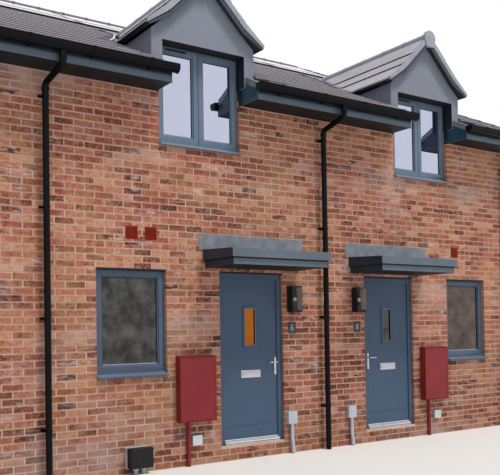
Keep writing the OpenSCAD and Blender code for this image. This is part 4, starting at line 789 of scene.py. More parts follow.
@dataclass
class Repeater:
    """Geometry Nodes tree that lays a unit at every spot, each a little off and with its own tone."""

    tree: Tree | None = None
    sockets: dict[str, str] = field(default_factory=dict)

    def build(self) -> None:
        """Builds the tree once, with named inputs."""
        self.tree = bpy.data.node_groups.new("laid_units", "GeometryNodeTree")
        add, face = partial(add_node, self.tree), self.tree.interface
        kinds = {"Geometry": "Geometry", "Unit": "Object", "Finish": "Material", "Turn": "Float",
                 "Shift": "Float", "Seed": "Int"}
        for label, kind in kinds.items():
            made = face.new_socket(label, in_out="INPUT", socket_type=f"NodeSocket{kind}")
            self.sockets[label] = made.identifier
        face.new_socket("Geometry", in_out="OUTPUT", socket_type="NodeSocketGeometry")
        given = add("NodeGroupInput").outputs

        def swing(amount: str, step: int) -> Node:
            """Returns a random vector up to an amount each way."""
            seed = add("ShaderNodeMath", {0: given["Seed"], 1: float(step)}, operation="ADD")
            value = add("FunctionNodeRandomValue", {0: (-1.0, -1.0, -1.0), 1: (1.0, 1.0, 1.0), "Seed": seed},
                        data_type="FLOAT_VECTOR")
            return add("ShaderNodeVectorMath", {0: value, "Scale": given[amount]}, operation="SCALE")

        moved = add("GeometryNodeSetPosition", {"Geometry": given["Geometry"], "Offset": swing("Shift", 1)})
        turn, size = (add("GeometryNodeInputNamedAttribute", {"Name": label}, data_type="FLOAT_VECTOR")
                      for label in ("turn", "size"))
        turn = add("ShaderNodeVectorMath", {0: turn, 1: swing("Turn", 2)}, operation="ADD")
        turn = add("FunctionNodeEulerToRotation", {0: turn})
        unit = add("GeometryNodeObjectInfo", {"Object": given["Unit"]}).outputs["Geometry"]
        laid = add("GeometryNodeInstanceOnPoints", {
            "Points": moved, "Instance": unit, "Rotation": turn, "Scale": size})
        for step, label in ((3, "tone"), (4, "mark")):
            seed = add("ShaderNodeMath", {0: given["Seed"], 1: float(step)}, operation="ADD")
            chance = add("FunctionNodeRandomValue", {"Seed": seed}, data_type="FLOAT").outputs[1]
            laid = add("GeometryNodeStoreNamedAttribute", {
                "Geometry": laid, "Name": label, "Value": chance}, data_type="FLOAT", domain="INSTANCE")
        real = add("GeometryNodeRealizeInstances", {"Geometry": laid})
        add("NodeGroupOutput", {0: add("GeometryNodeSetMaterial", {
            "Geometry": real, "Material": given["Finish"]})})

    def lay(self, name: str, unit: Shape, spots: Sequence[Spot], finish: Finish, slot: str, seed: int,
            turn: float = 0.0, shift: float = 0.0, replaces: Sequence[str] = (),
            extra: Shape | None = None) -> None:
        """Lays a unit at every spot and shows the result as one plain piece.

        Args:
            name: the piece's name.
            unit: shape of one unit about its own origin.
            spots: where the units go.
            finish: finish of the units.
            slot: material slot of the record.
            seed: seed of the small differences.
            turn: largest random turn in radians.
            shift: largest random move in metres.
            replaces: nodes of the frame that it stands for.
            extra: single shapes that join the piece as they are.
        """
        if not self.tree:
            self.build()
        model = bpy.data.objects.new(f"{name}_unit", unit.mesh(f"{name}_unit"))
        points = bpy.data.meshes.new(f"{name}_spots")
        points.from_pydata([tuple(s.at) for s in spots], [], [])
        for label in ("turn", "size"):
            made = points.attributes.new(label, "FLOAT_VECTOR", "POINT")
            made.data.foreach_set("vector", [v for s in spots for v in getattr(s, label)])
        layer = bpy.data.objects.new(f"{name}_layer", points)
        for used in (model, layer):
            bpy.context.scene.collection.objects.link(used)
        maker = layer.modifiers.new("laying", "NODES")
        maker.node_group = self.tree
        for label, value in (("Unit", model), ("Finish", finish.material()), ("Turn", turn), ("Shift", shift),
                             ("Seed", seed)):
            maker[self.sockets[label]] = value
        graph = bpy.context.evaluated_depsgraph_get()
        mesh = bpy.data.meshes.new_from_object(layer.evaluated_get(graph), preserve_all_data_layers=True,
                                               depsgraph=graph)
        layer.modifiers.remove(maker)
        for used in (layer, model):
            bpy.data.objects.remove(used)
        if extra:
            mesh = self.merged(mesh, extra.mesh(f"{name}_extra"))
        mesh.name = name
        show(name, mesh, [finish], slot, replaces=replaces)

    @staticmethod
    def merged(laid: bpy.types.Mesh, extra: bpy.types.Mesh) -> bpy.types.Mesh:
        """Joins cut units to the laid ones; each cut unit takes its tone from its place."""
        for label in ("tone", "mark"):
            if label not in extra.attributes:
                extra.attributes.new(label, "FLOAT", "POINT")
        tones = [0.5 + 0.5 * math.sin(round(v.co.x * 3) * 12.9 + round(v.co.z * 3) * 7.3)
                 for v in extra.vertices]
        extra.attributes["tone"].data.foreach_set("value", tones)
        whole = bmesh.new()
        whole.from_mesh(laid)
        whole.from_mesh(extra)
        whole.to_mesh(laid)
        whole.free()
        return laid


REPEATER = Repeater()


# ---- Walls


@dataclass
class Brickwork:
    """Facing bricks in stretcher bond on the four walls, with the frame's walls as their mortar."""

    length: float = 0.215
    height: float = 0.065
    joint: float = 0.010
    proud: float = 0.005
    embed: float = 0.020
    reveal: float = 0.003
    reveal_depths: Pair = (0.044, 0.034)
    first_perpend: float = 0.064
    chamfer: float = 0.003
    rim_w: float = 0.012
    shortest: float = 0.025
    closer: float = 0.055
    below_ridge: float = 0.180
    lintel: Pair = (-0.012, 0.006)
    board_x: Pair = (-0.003, 0.019)
    board_y: Pair = (-0.006, 0.044)
    board_foot: float = 0.008
    turn: float = 0.004
    shift: float = 0.0007

    @property
    def pitch(self) -> float:
        """Height of a course and its joint."""
        return self.height + self.joint

    def unit(self) -> Shape:
        """Returns one brick face of nominal size with soft arrises: y runs from its face into the wall."""
        w, h, c, m = self.length / 2, self.height / 2, self.chamfer, self.rim_w
        rings = [(w - m, 0.0, h - m), (w - c, 0.0, h - c), (w, 0.4, h), (w, 1.0, h)]
        corners = [(sx * x, y, sz * z) for x, y, z in rings for sx, sz in ((-1, -1), (1, -1), (1, 1), (-1, 1))]
        faces = [(0, 1, 2, 3), (15, 14, 13, 12)]
        for r, i in product((0, 4, 8), range(4)):
            j = (i + 1) % 4
            faces.append((r + i, r + 4 + i, r + 4 + j, r + j))
        shape = Shape().add(corners, faces)
        shape.marks["rim"] = [0.0] * 4 + [1.0] * 12
        return shape

    def course(self, number: int, start: float, end: float, gaps: Sequence[Triple],
               shift: float) -> list[Triple]:
        """Cuts one course into bricks.

        Args:
            number: number of the course from the ground.
            start: where the course starts.
            end: where it ends.
            gaps: start, end and reveal depth of each opening that it meets.
            shift: place of the perpends in the even courses.

        Returns:
            Start, end and depth of each brick.
        """
        pitch, half = self.length + self.joint, self.joint / 2
        origin = shift + (pitch / 2 if number % 2 else 0.0)
        runs, from_x, from_depth = [], start, 0.0
        for g0, g1, depth in gaps:
            runs.append((from_x, g0 + self.reveal, from_depth, depth))
            from_x, from_depth = g1 - self.reveal, depth
        runs.append((from_x, end, from_depth, 0.0))
        bricks = []
        for a, b, depth_a, depth_b in runs:
            first = math.ceil((a + self.closer - origin) / pitch)
            last = math.floor((b - self.closer - origin) / pitch)
            edges = [a - half, *(origin + n * pitch for n in range(first, last + 1)), b + half]
            cuts = [(low + half, high - half) for low, high in zip(edges, edges[1:])]
            for i, (low, high) in enumerate(cuts):
                depth = max(depth_a if i == 0 else 0.0, depth_b if i == len(cuts) - 1 else 0.0)
                if high - low > self.shortest:
                    bricks.append((low, high, depth))
        return bricks

    def spots(self, place: Matrix, turn: float, courses: Iterable[tuple[int, float, float, list]],
              shift: float) -> list[Spot]:
        """Returns the bricks of a wall face whose own x runs along it and y into it."""
        found = []
        for number, start, end, gaps in courses:
            for a, b, depth in self.course(number, start, end, gaps, shift):
                at = place @ Vector(((a + b) / 2, -self.proud, (number + 0.5) * self.pitch))
                size = ((b - a) / self.length, max(depth, self.embed) + self.proud, 1.0)
                found.append(Spot(at, (0.0, 0.0, turn), size))
        return found

    def long_wall(self, side: Side) -> list[Spot]:
        """Returns the bricks of the street or rear wall."""
        openings = []
        for house in range(PLAN.houses):
            place = PLAN.at_house(house, side)
            for (a0, a1, z0, z1), depth in zip((PLAN.window, PLAN.door), self.reveal_depths):
                x0, x1 = sorted((place @ Vector((a, 0, 0))).x for a in (a0, a1))
                openings.append((x0, x1, z0, z1, depth))
            x, (half, z0, _) = PLAN.dormer_x(house), PLAN.dormer_open
            openings.append((x - half, x + half, z0, math.inf, self.reveal_depths[0]))
        courses = []
        edge = PLAN.half_w + self.proud
        for number in range(math.ceil(PLAN.soffit / self.pitch)):
            low = number * self.pitch + self.joint / 2
            gaps = [(x0, x1, depth) if side is Side.STREET else (-x1, -x0, depth)
                    for x0, x1, z0, z1, depth in openings if low < z1 - WELD and low + self.height > z0 + self.joint]
            courses.append((number, -edge, edge, sorted(gaps)))
        place = Matrix.Rotation(side.turn, 4, "Z") @ Matrix.Translation((0, PLAN.face_y, 0))
        return self.spots(place, side.turn, courses, self.first_perpend)

    def gable(self, end: int) -> list[Spot]:
        """Returns the bricks of one end wall, which stop below the roof."""
        courses = []
        for number in range(math.ceil((PLAN.ridge_z - self.below_ridge) / self.pitch)):
            reach = PLAN.depth / 2 - max(number * self.pitch - PLAN.wall_top, 0.0) / PLAN.slope
            if reach > self.length / 2:
                courses.append((number, -reach, reach, []))
        turn = end * math.pi / 2
        place = Matrix.Rotation(turn, 4, "Z") @ Matrix.Translation((0, -PLAN.half_w, 0))
        return self.spots(place, turn, courses, 0.0)

    def build(self) -> None:
        """Builds and shows the bricks of all four walls."""
        dress(MORTAR, "front_piers", "front_aprons", "front_upper_wall", "rear_wall", "end_walls")
        walls = (("street_bricks", self.long_wall(Side.STREET)), ("rear_bricks", self.long_wall(Side.REAR)),
                 ("left_gable_bricks", self.gable(-1)), ("right_gable_bricks", self.gable(1)))
        for number, (name, spots) in enumerate(walls):
            REPEATER.lay(name, self.unit(), spots, BRICK, "brick", seed=10 * number + 3, turn=self.turn,
                         shift=self.shift)
        self.linings()

    def linings(self) -> None:
        """Builds and shows the lintels' dark edges and the boards that line the wall beside the dormers."""
        lintels, boards = Shape(), Shape()
        # The lintels' toes are dark and tall enough to stand also for the shade under each head
        for (a0, a1, _, top), depth in zip((PLAN.window, PLAN.door), self.reveal_depths):
            lintels.box((a0 + MM, MM - self.proud, top + self.lintel[0]),
                        (a1 - MM, depth - MM, top + self.lintel[1]))
        near, far = (PLAN.dormer_open[0] + x for x in self.board_x)
        for x0, x1 in ((-far, -near), (near, far)):
            boards.box((x0, self.board_y[0], PLAN.soffit - self.board_foot),
                       (x1, self.board_y[1], PLAN.wall_top))
        whole = lintels.repeated(PLAN.fronts()).join(boards.repeated(PLAN.dormers()))
        show("reveal_linings", whole, [REVEAL], "frame_grey")


# ---- Main roof


def clipped(shape: Outline, a: float, b: float, c: float) -> list[Pair]:
    """Returns the part of a flat convex outline where a * u + b * v is at least c."""
    kept = []
    for i, p in enumerate(shape):
        q = shape[(i + 1) % len(shape)]
        dp, dq = a * p[0] + b * p[1] - c, a * q[0] + b * q[1] - c
        if dp >= 0:
            kept.append(p)
        if (dp > 0 > dq) or (dp < 0 < dq):
            t = dp / (dp - dq)
            kept.append((p[0] + (q[0] - p[0]) * t, p[1] + (q[1] - p[1]) * t))
    return kept


@dataclass
class MainRoof:
    """Flat interlocking tiles in broken bond on both slopes, cut round dormers and panels."""

    width: float = 0.330
    gauge: float = 0.300
    thick: float = 0.019
    lap: float = 0.060
    gap: float = 0.002
    rise: float = 0.022
    base: float = 0.002
    nose: float = 0.004
    rim_w: float = 0.007
    narrowest: float = 0.030
    sliver: Pair = (0.010, 0.020)
    overhang: float = 0.050
    inset: float = 0.020
    below_ridge: float = 0.050
    lead: float = 0.045
    cheek_gap: float = 0.008
    panel_gap: Pair = (0.012, 0.010)
    verge: float = 0.030
    ridge_r: float = 0.110
    ridge_l: float = 0.450
    ridge_drop: float = 0.060
    cap_x: Pair = (-0.062, 0.034)
    cap_z: Pair = (-0.120, 0.050)
    cap_lap: float = 0.015
    cap_up: float = 0.020
    cap_stop: float = 0.060
    cap_tilt: float = 0.030
    board_x: Pair = (0.0005, 0.028)
    board_z: Pair = (-0.190, -0.030)
    turn: float = 0.0007
    shift: float = 0.0004
    ridge_turn: float = 0.002

    @property
    def start(self) -> float:
        """Distance down the slope from the wall line to the lowest tile edge."""
        return -(PLAN.eaves_out - self.inset) / math.cos(PLAN.roof_pitch) - self.overhang

    @property
    def end(self) -> float:
        """Distance up the slope to the last tile's head."""
        return (PLAN.depth / 2 - self.below_ridge) / math.cos(PLAN.roof_pitch)

    def lie(self, v: float, tail: float = 0.0) -> float:
        """Height off the roof of a tile's underside at a distance up the slope."""
        return self.base + self.rise - (v - tail) * self.rise / self.gauge

    def unit(self) -> Shape:
        """Returns one tile: x across, y up the slope from its tail, z off the roof, with its tail edge marked for
        the painted highlight.
        """
        half, long, thick = (self.width - self.gap) / 2, self.gauge + self.lap, self.thick
        rows = [(0.0, 0.0), (0.0, thick - self.nose), (self.nose, thick), (self.rim_w, thick),
                (long, thick), (long, 0.0)]
        shape = Shape().prism([(v, self.lie(v) + h) for v, h in rows], "x", -half, half)
        shape.marks["rim"] = [0.0, 1.0, 1.0, 0.0, 0.0, 0.0] * 2
        return shape

    def cut_tile(self, outline: Outline, tail: float) -> Shape:
        """Returns a tile cut to an outline on the slope: its tail edge, marked for the painted highlight, then the
        rest of it.
        """
        shape, rims = Shape(), []
        for sign, rim in ((-1, 1.0), (1, 0.0)):
            part = clipped(outline, 0.0, sign, sign * (tail + self.rim_w))
            if len(part) > 2:
                corners = [(u, v, self.lie(v, tail) + h) for h in (0.0, self.thick) for u, v in part]
                shape.add(corners, skin(len(part)))
                rims += [rim] * len(corners)
        shape.marks["rim"] = rims
        return shape

    def pieces(self, rect: Rect, panels: bool) -> list[list[Pair]]:
        """Cuts one tile's rectangle round the panels and the dormers.

        Args:
            rect: left, right, tail and head of the tile on the slope.
            panels: whether the slope holds the solar panels.

        Returns:
            Outline of each piece that is left.
        """
        rects, centres = [rect], [PLAN.dormer_x(bay) for bay in range(PLAN.houses)]
        if panels:
            array = SolarArray()
            v0, v1 = array.top_v - 2 * (array.long + array.gap) - self.panel_gap[1], array.top_v
            reach = array.width + array.gap / 2 + self.panel_gap[0]
            for x0, x1 in ((x - reach, x + reach) for x in centres):
                left = []
                for u0, u1, a, b in rects:
                    if u1 <= x0 or u0 >= x1 or b <= v0 or a >= v1:
                        left.append((u0, u1, a, b))
                        continue
                    parts = [(u0, u1, a, v0), (u0, u1, v1, b), (u0, x0, max(a, v0), min(b, v1)),
                             (x1, u1, max(a, v0), min(b, v1))]
                    left += [p for p in parts if p[1] - p[0] > self.sliver[0] and p[3] - p[2] > self.sliver[1]]
                rects = left
        shapes = []
        cos, wide = math.cos(PLAN.roof_pitch), PLAN.dormer_half + self.cheek_gap
        meet = PLAN.meets(PLAN.dormer_line(wide)) / cos
        rise = PLAN.dormer_apex + self.lead - PLAN.roof_z
        for u0, u1, a, b in rects:
            near = [x for x in centres if u0 < x + wide and u1 > x - wide]
            if not near or a > rise / PLAN.slope / cos:
                shapes.append([(u0, a), (u1, a), (u1, b), (u0, b)])
                continue
            # Beside a cheek the cut runs up the slope, and above it along the valley
            for low, high, slant, reach in (
                    (a, min(b, meet), 0.0, wide), (max(a, meet), b, PLAN.slope * cos, rise)):
                if high - low < self.sliver[0]:
                    continue
                whole = [(u0, low), (u1, low), (u1, high), (u0, high)]
                for sign in (-1, 1):
                    part = clipped(whole, sign, slant, sign * near[0] + reach)
                    if len(part) > 2 and abs(part[0][0] - part[-1][0]) + abs(part[0][1] - part[-1][1]) > 1e-4:
                        shapes.append(part)
        return shapes

    def slope_tiles(self, side: Side) -> tuple[list[Spot], Shape]:
        """Returns the whole tiles of a slope and the shape of all its cut ones."""
        place, whole, cut = PLAN.on_slope(side), [], Shape()
        edge = PLAN.half_w - self.verge
        for row in range(math.ceil((self.end - self.start) / self.gauge)):
            tail = self.start + row * self.gauge
            head = min(tail + self.gauge + self.lap, self.end)
            x = -edge - (self.width / 2 if row % 2 else 0.0)
            while x < edge:
                u0, u1 = max(x + self.gap / 2, -edge), min(x + self.width - self.gap / 2, edge)
                x += self.width
                if u1 - u0 < self.narrowest:
                    continue
                shapes = self.pieces((u0, u1, tail, head), side is Side.STREET)
                full = u1 - u0 > self.width - self.gap - WELD and head - tail > self.gauge + self.lap - WELD
                if full and shapes == [[(u0, tail), (u1, tail), (u1, head), (u0, head)]]:
                    whole.append(Spot(place @ Vector(((u0 + u1) / 2, tail, 0)),
                                      (PLAN.roof_pitch, 0.0, side.turn)))
                    continue
                for outline in shapes:
                    cut.join(self.cut_tile(outline, tail))
        return whole, cut.placed(place)

    def build(self) -> None:
        """Builds and shows tiles, ridge and verges."""
        dress(UNDERLAY, "roof_front", "roof_rear")
        for side in Side:
            whole, cut = self.slope_tiles(side)
            REPEATER.lay(f"{side.name.lower()}_roof_tiles", self.unit(), whole, TILE, "roof_tile",
                         seed=71 + side.value, turn=self.turn, shift=self.shift, extra=cut)
        reach, axis = PLAN.half_w + self.verge, PLAN.ridge_z - self.ridge_drop
        count = math.ceil(2 * reach / self.ridge_l)
        step = 2 * reach / count
        spots = [Spot((-reach + i * step, 0, axis), size=(step / self.ridge_l, 1, 1)) for i in range(count)]
        ends = Shape()
        for sign in (-1, 1):
            plug = arc((0, axis), self.ridge_r - 0.012, 0, 180, 18)
            ends.prism(plug, "x", sign * (reach - 0.020), sign * (reach - 0.004))
        unit = ridge_tile(4, 18, (self.ridge_r, 0.016, 0.004, self.ridge_l - 0.002),
                          (self.ridge_r + 0.006, 0.012, 0.002, 0.042))
        REPEATER.lay("ridge_run", unit, spots, RIDGE, "roof_tile", seed=91, turn=self.ridge_turn,
                     replaces=["ridge_tiles"], extra=ends)
        self.verges()

    def verges(self) -> None:
        """Builds and shows the stepped verge caps, one for each course, over a plain board."""
        (x0, x1), (z0, z1) = self.cap_x, self.cap_z
        unit = Shape().box((x0, 0.0, z0), (x1, self.gauge + self.cap_lap, z1))
        run = PLAN.depth / 2 / math.cos(PLAN.roof_pitch) - self.cap_stop - self.start
        foot, top, (low, high) = -self.inset - PLAN.eaves_out, PLAN.depth / 2, self.board_z
        outline = [(y, PLAN.roof_z + PLAN.slope * y + h)
                   for y, h in ((foot, low), (top, low), (top, high), (foot, high))]
        flat = Shape().prism(outline, "x", *(PLAN.half_w + x for x in self.board_x))
        spots, boards = [], Shape()
        for side, end in product(Side, (-1, 1)):
            across = end * side.value
            for row in range(math.floor(run / self.gauge)):
                up = self.start + row * self.gauge + self.cap_up
                at = PLAN.on_slope(side) @ Vector((across * PLAN.half_w, up, 0.0))
                spots.append(Spot(at, (PLAN.roof_pitch - self.cap_tilt, 0.0, side.turn), (across, 1, 1)))
            boards.join(flat.placed(Matrix.Diagonal((end, 1, 1, 1)) @ PLAN.at_wall(side)))
        REPEATER.lay("verge_units", unit, spots, RIDGE, "verge_grey", seed=95, turn=self.ridge_turn,
                     replaces=["verge_caps"], extra=boards)


@dataclass
class SolarArray:
    """Framed solar panels lying in the street slope, two by two over each house."""

    width: float = 1.722
    long: float = 1.134
    thick: float = 0.040
    gap: float = 0.020
    rim: float = 0.018
    top: float = 0.240
    apron: float = 0.110
    lift: float = 0.0003

    @property
    def top_v(self) -> float:
        """Distance up the slope to the arrays' top edge."""
        return (PLAN.depth / 2 - self.top) / math.cos(PLAN.roof_pitch)

    def build(self) -> None:
        """Builds and shows all the panels."""
        # A panel is drawn upright and laid down: its y is its height off the roof
        lay = Matrix(((1, 0, 0, 0), (0, 0, 1, 0), (0, 1, 0, 0), (0, 0, 0, 1)))
        place = Matrix.Translation((0, 0, self.lift)) @ PLAN.on_slope(Side.STREET) @ lay
        whole, rim, thick = Shape(), self.rim, self.thick
        for bay, col, row in product(range(PLAN.houses), (-1, 1), (1, 2)):
            x0 = PLAN.dormer_x(bay) + col * (self.width + self.gap) / 2 - self.width / 2
            v0 = self.top_v - row * (self.long + self.gap)
            x1, v1 = x0 + self.width, v0 + self.long
            panel = Shape().ring((x0, 0.0, v0), (x1, thick, v1), rim)
            panel.box((x0 + rim, 0.004, v0 + rim), (x1 - rim, thick - 0.003, v1 - rim), 1)
            if row == 2:
                # A black apron dresses the array down over the tiles below it, and stands also for the shade under
                # the panels' lower edge
                panel.box((x0, thick + 0.003, v0 - self.apron), (x1, thick + 0.024, v0), 2)
            whole.join(panel.placed(place))
        show("solar_array", whole, [ALUMINIUM, CELLS, GASKET_AND_SHADE], "panel", replaces=["solar_panels"], round_mm=1.5)


# ---- Dormers


@dataclass
class Dormers:
    """Rendered wall dormers: three courses of big flat tiles, stepped verge caps, round ridges, lead valleys."""

    steps: Row = (0.790, 0.515, 0.325, 0.015)
    deck_top: float = -0.036
    deck_under: float = -0.0905
    foot_top: float = -0.004
    foot_under: float = -0.045
    tail_lift: float = 0.040
    head_lift: float = 0.018
    top_lift: float = 0.036
    tile_t: float = 0.024
    tile_w: float = 0.60
    starts: Row = (0.35, 0.80, 0.15)
    tiled_to: float = 3.2
    narrowest: float = 0.040
    above_valley: float = 0.020
    lead_lift: float = 0.047
    lead_t: float = 0.003
    lead_fall: float = 0.5
    joint: float = 0.009
    lead_w: float = 0.035
    saddle: Pair = (0.135, 0.36)
    cap_w: float = 0.028
    cap_out: float = 0.010
    ridge_r: float = 0.080
    ridge_drop: float = 0.032
    disc_r: float = 0.106
    cap_drop: float = 0.086
    taper: float = 0.6
    ridge_l: float = 0.45
    foot_in: float = 0.045
    deck_in: float = 0.012
    turn: float = 0.002
    tongue: tuple[Pair, ...] = (
        (-0.084, -0.060), (-0.070, -0.128), (0.070, -0.128), (0.084, -0.060))

    def deck(self) -> Shape:
        """Returns the dark deck under the tiles, from the verge back to the main roof."""
        half, bend = PLAN.dormer_roof_half, PLAN.dormer_bend
        over = [(u, PLAN.dormer_line(abs(u), self.foot_top if abs(u) == half else self.deck_top))
                for u in (-half, -bend, 0.0, bend, half)]
        inner = half - self.foot_in
        under = [(u, PLAN.dormer_line(abs(u), self.foot_under if abs(u) == inner else self.deck_under))
                 for u in (inner, bend, 0.0, -bend, -inner)]
        outline = over + under
        count = len(outline)
        front = PLAN.dormer_front + self.deck_in
        corners = [(u, front, z) for u, z in outline] + [(u, PLAN.meets(z) + 0.02, z) for u, z in outline]
        # The outline is hollow below its ridge, so each end is three convex faces
        rings = ((0, 1, 8, 9), (1, 2, 7, 8), (2, 3, 6, 7), (3, 4, 5, 6))
        faces = [tuple(first + i for i in ring) for first in (0, count) for ring in rings]
        return Shape().add(corners, faces + skin(count)[2:])

    def tiles(self) -> Shape:
        """Returns the tiles of one dormer's right-hand slope, cut to the valley."""
        shape = Shape()
        front = PLAN.dormer_front + self.cap_w - 0.005
        for course, (low, high) in enumerate(zip(self.steps, self.steps[1:])):
            high = max(high - 0.02, 0.0)
            z_low, z_high = PLAN.dormer_line(low), PLAN.dormer_line(high)
            fall = (z_high - z_low) / (low - high)
            y = front - self.tile_w * self.starts[course]
            while y < self.tiled_to:
                y0, y1 = max(y + self.joint / 2, front), y + self.tile_w - self.joint / 2
                y += self.tile_w
                if y1 - y0 < self.narrowest:
                    continue
                # Flat outline in distance back and distance out from the centre line, kept before the valley
                outline = clipped([(y0, low), (y1, low), (y1, high), (y0, high)], -PLAN.slope, -fall,
                                  PLAN.roof_z + self.above_valley - z_low - low * fall)
                if len(outline) < 3:
                    continue
                count = len(outline)
                corners = []
                for step in (-self.tile_t, 0.0):
                    for back, out in outline:
                        part = (low - out) / (low - high)
                        head = self.top_lift if course == 2 else self.head_lift
                        lift = self.tail_lift + (head - self.tail_lift) * part + step
                        corners.append((out, back, z_low + (low - out) * fall + lift))
                faces = skin(count)
                # The tails of the upper courses are painted black as the shade they lie in
                shaded = [int(course > 0 and all(abs(outline[i % count][1] - low) < WELD for i in side))
                          for side in faces[2:]]
                shape.add(corners, faces, [0, 0, *shaded])
        return shape

    def valley(self) -> Shape:
        """Returns the strip of lead that shows along one right-hand valley, over the main roof's tiles."""
        half, bend = PLAN.dormer_roof_half, PLAN.dormer_bend
        lift = self.lead_lift / math.cos(PLAN.roof_pitch)
        line = [(u, PLAN.meets(PLAN.dormer_line(u, self.tail_lift))) for u in (half - 0.01, bend, 0.02)]
        shape, drops = Shape(), (0.0, self.lead_t)
        for (u0, b0), (u1, b1) in zip(line, line[1:]):
            corners = []
            for drop in drops:
                for u, back, out in ((u0, b0, 0.0), (u0, b0, self.lead_w), (u1, b1, self.lead_w), (u1, b1, 0.0)):
                    y = back - out * self.lead_fall
                    corners.append((u + out, y, PLAN.roof_z + PLAN.slope * y + lift - drop))
            shape.add(corners, skin(4))
        # Half of the saddle that dresses the ridge's end to the main roof
        apex = PLAN.meets(PLAN.dormer_apex)
        wide, long = self.saddle
        ends = [(apex - 0.06, 0.0), (apex - 0.06, wide * 0.8), (apex + long, wide), (apex + long, 0.0)]
        corners = [(u, y, PLAN.roof_z + PLAN.slope * y + lift + MM - drop) for drop in drops for y, u in ends]
        return shape.add(corners, skin(4), 1)

    def under(self, u: float, drop: float) -> float:
        """Returns a lower line of the verge: it keeps its drop to the bend and closes up towards the foot."""
        part = max(u - PLAN.dormer_bend, 0.0) / (PLAN.dormer_roof_half - PLAN.dormer_bend)
        return PLAN.dormer_line(u, 0.03 - drop * (1 - self.taper * part))

    def verge(self) -> Shape:
        """Returns the verge of one right-hand slope: three stepped caps, a black band painted as the shadow under
        them, and a slate undercloak.
        """
        line, front, bend = PLAN.dormer_line, PLAN.dormer_front, PLAN.dormer_bend
        shape = Shape()
        for low, high in zip(self.steps, self.steps[1:]):
            low, high = low + 0.006, max(high - 0.002, 0.0)
            mid = [bend] if high < bend < low else []
            tops = [(low, 0.046), *((u, 0.043) for u in mid), (high, 0.034)]
            outline = [(u, line(u, lift)) for u, lift in tops]
            outline += [(u, self.under(u, self.cap_drop)) for u in (high, *mid, low - 0.012)]
            shape.prism(outline, "y", front - self.cap_out, front + self.cap_w)
        end = PLAN.dormer_roof_half - 0.03
        # The first band is black, painted as the shadow under the caps; the second is the slate undercloak
        for top, low, back, ink in ((0.084, 0.106, 0.010, 1), (0.103, 0.156, 0.0, 2)):
            for a, b in ((0.0, bend), (bend, end)):
                outline = [(u, self.under(u, edge))
                           for edge, ends in ((top, (a, b)), (low, (b, a))) for u in ends]
                shape.prism(outline, "y", front + back, front + back + 0.02, ink)
        return shape

    def end_cap(self, centre: float) -> Shape:
        """Returns the ridge's end: a disc that runs down into a narrowing tongue."""
        disc = arc((0, centre), self.disc_r, -34, 214, 36) + [(x, centre + z) for x, z in self.tongue]
        return Shape().prism(disc, "y", PLAN.dormer_front - 0.024, PLAN.dormer_front + 0.020)

    def build(self) -> None:
        """Builds and shows the dormers' looks."""
        reach, head = PLAN.dormer_open[0] + 0.002, PLAN.dormer_open[2]

        def side_of(middle: Vector, way: Vector) -> int:
            """Picks painted shade for the reveals round the window: black on the head's underside, dark slate on the
            sides; the rendered faces keep the render.
            """
            u = min(abs(middle.x - PLAN.dormer_x(b)) for b in range(PLAN.houses))
            inside = u < reach and middle.z < head + 0.01
            return (2 if way.z < -0.9 else 1 if abs(way.x) > 0.9 else 0) if inside else 0

        softened("dormer_render", "dormer_walls", (RENDER, REVEAL, GASKET_AND_SHADE), "render_grey", 5.0, pick=side_of)
        show("dormer_decks", self.deck().repeated(PLAN.dormers()), [UNDERLAY], "roof_tile",
             replaces=["dormer_roofs"])
        for name, half, finishes, slot, width in (
                ("dormer_tiles", self.tiles(), [DORMER_TILE, GASKET_AND_SHADE], "roof_tile", 2.0),
                ("valley_leads", self.valley(), [VALLEY, LEAD], "lead", 0.0),
                ("dormer_verges", self.verge(), [VERGE_CAP, GASKET_AND_SHADE, UNDERCLOAK], "verge_grey", 3.0)):
            whole = half.join(half.placed(Matrix.Diagonal((-1, 1, 1, 1))))
            show(name, whole.repeated(PLAN.dormers()), finishes, slot, round_mm=width)
        centre, front = PLAN.dormer_apex - self.ridge_drop, PLAN.dormer_front - self.deck_in
        back = PLAN.meets(PLAN.dormer_apex + 0.035) + 0.1
        count = math.ceil((back - front) / self.ridge_l)
        step = (back - front) / count
        spots, caps = [], Shape()
        for place in PLAN.dormers():
            turn = math.pi / 2 if place[1][1] > 0 else -math.pi / 2
            for i in range(count):
                at = place @ Vector((0, front + i * step, centre))
                spots.append(Spot(at, (0, 0, turn), (step / self.ridge_l, 1, 1)))
            caps.join(self.end_cap(centre).placed(place))
        # The ridge tiles are more than half round, so that they sit on the tiles of both slopes
        unit = ridge_tile(42, 26, (self.ridge_r, 0.014, 0.003, self.ridge_l - 0.001),
                          (self.ridge_r + 0.005, 0.017, 0.001, 0.041))
        REPEATER.lay("dormer_ridge_run", unit, spots, VERGE_CAP, "roof_tile", seed=131, turn=self.turn,
                     replaces=["dormer_ridges"], extra=caps)


# ---- Eaves and rainwater goods


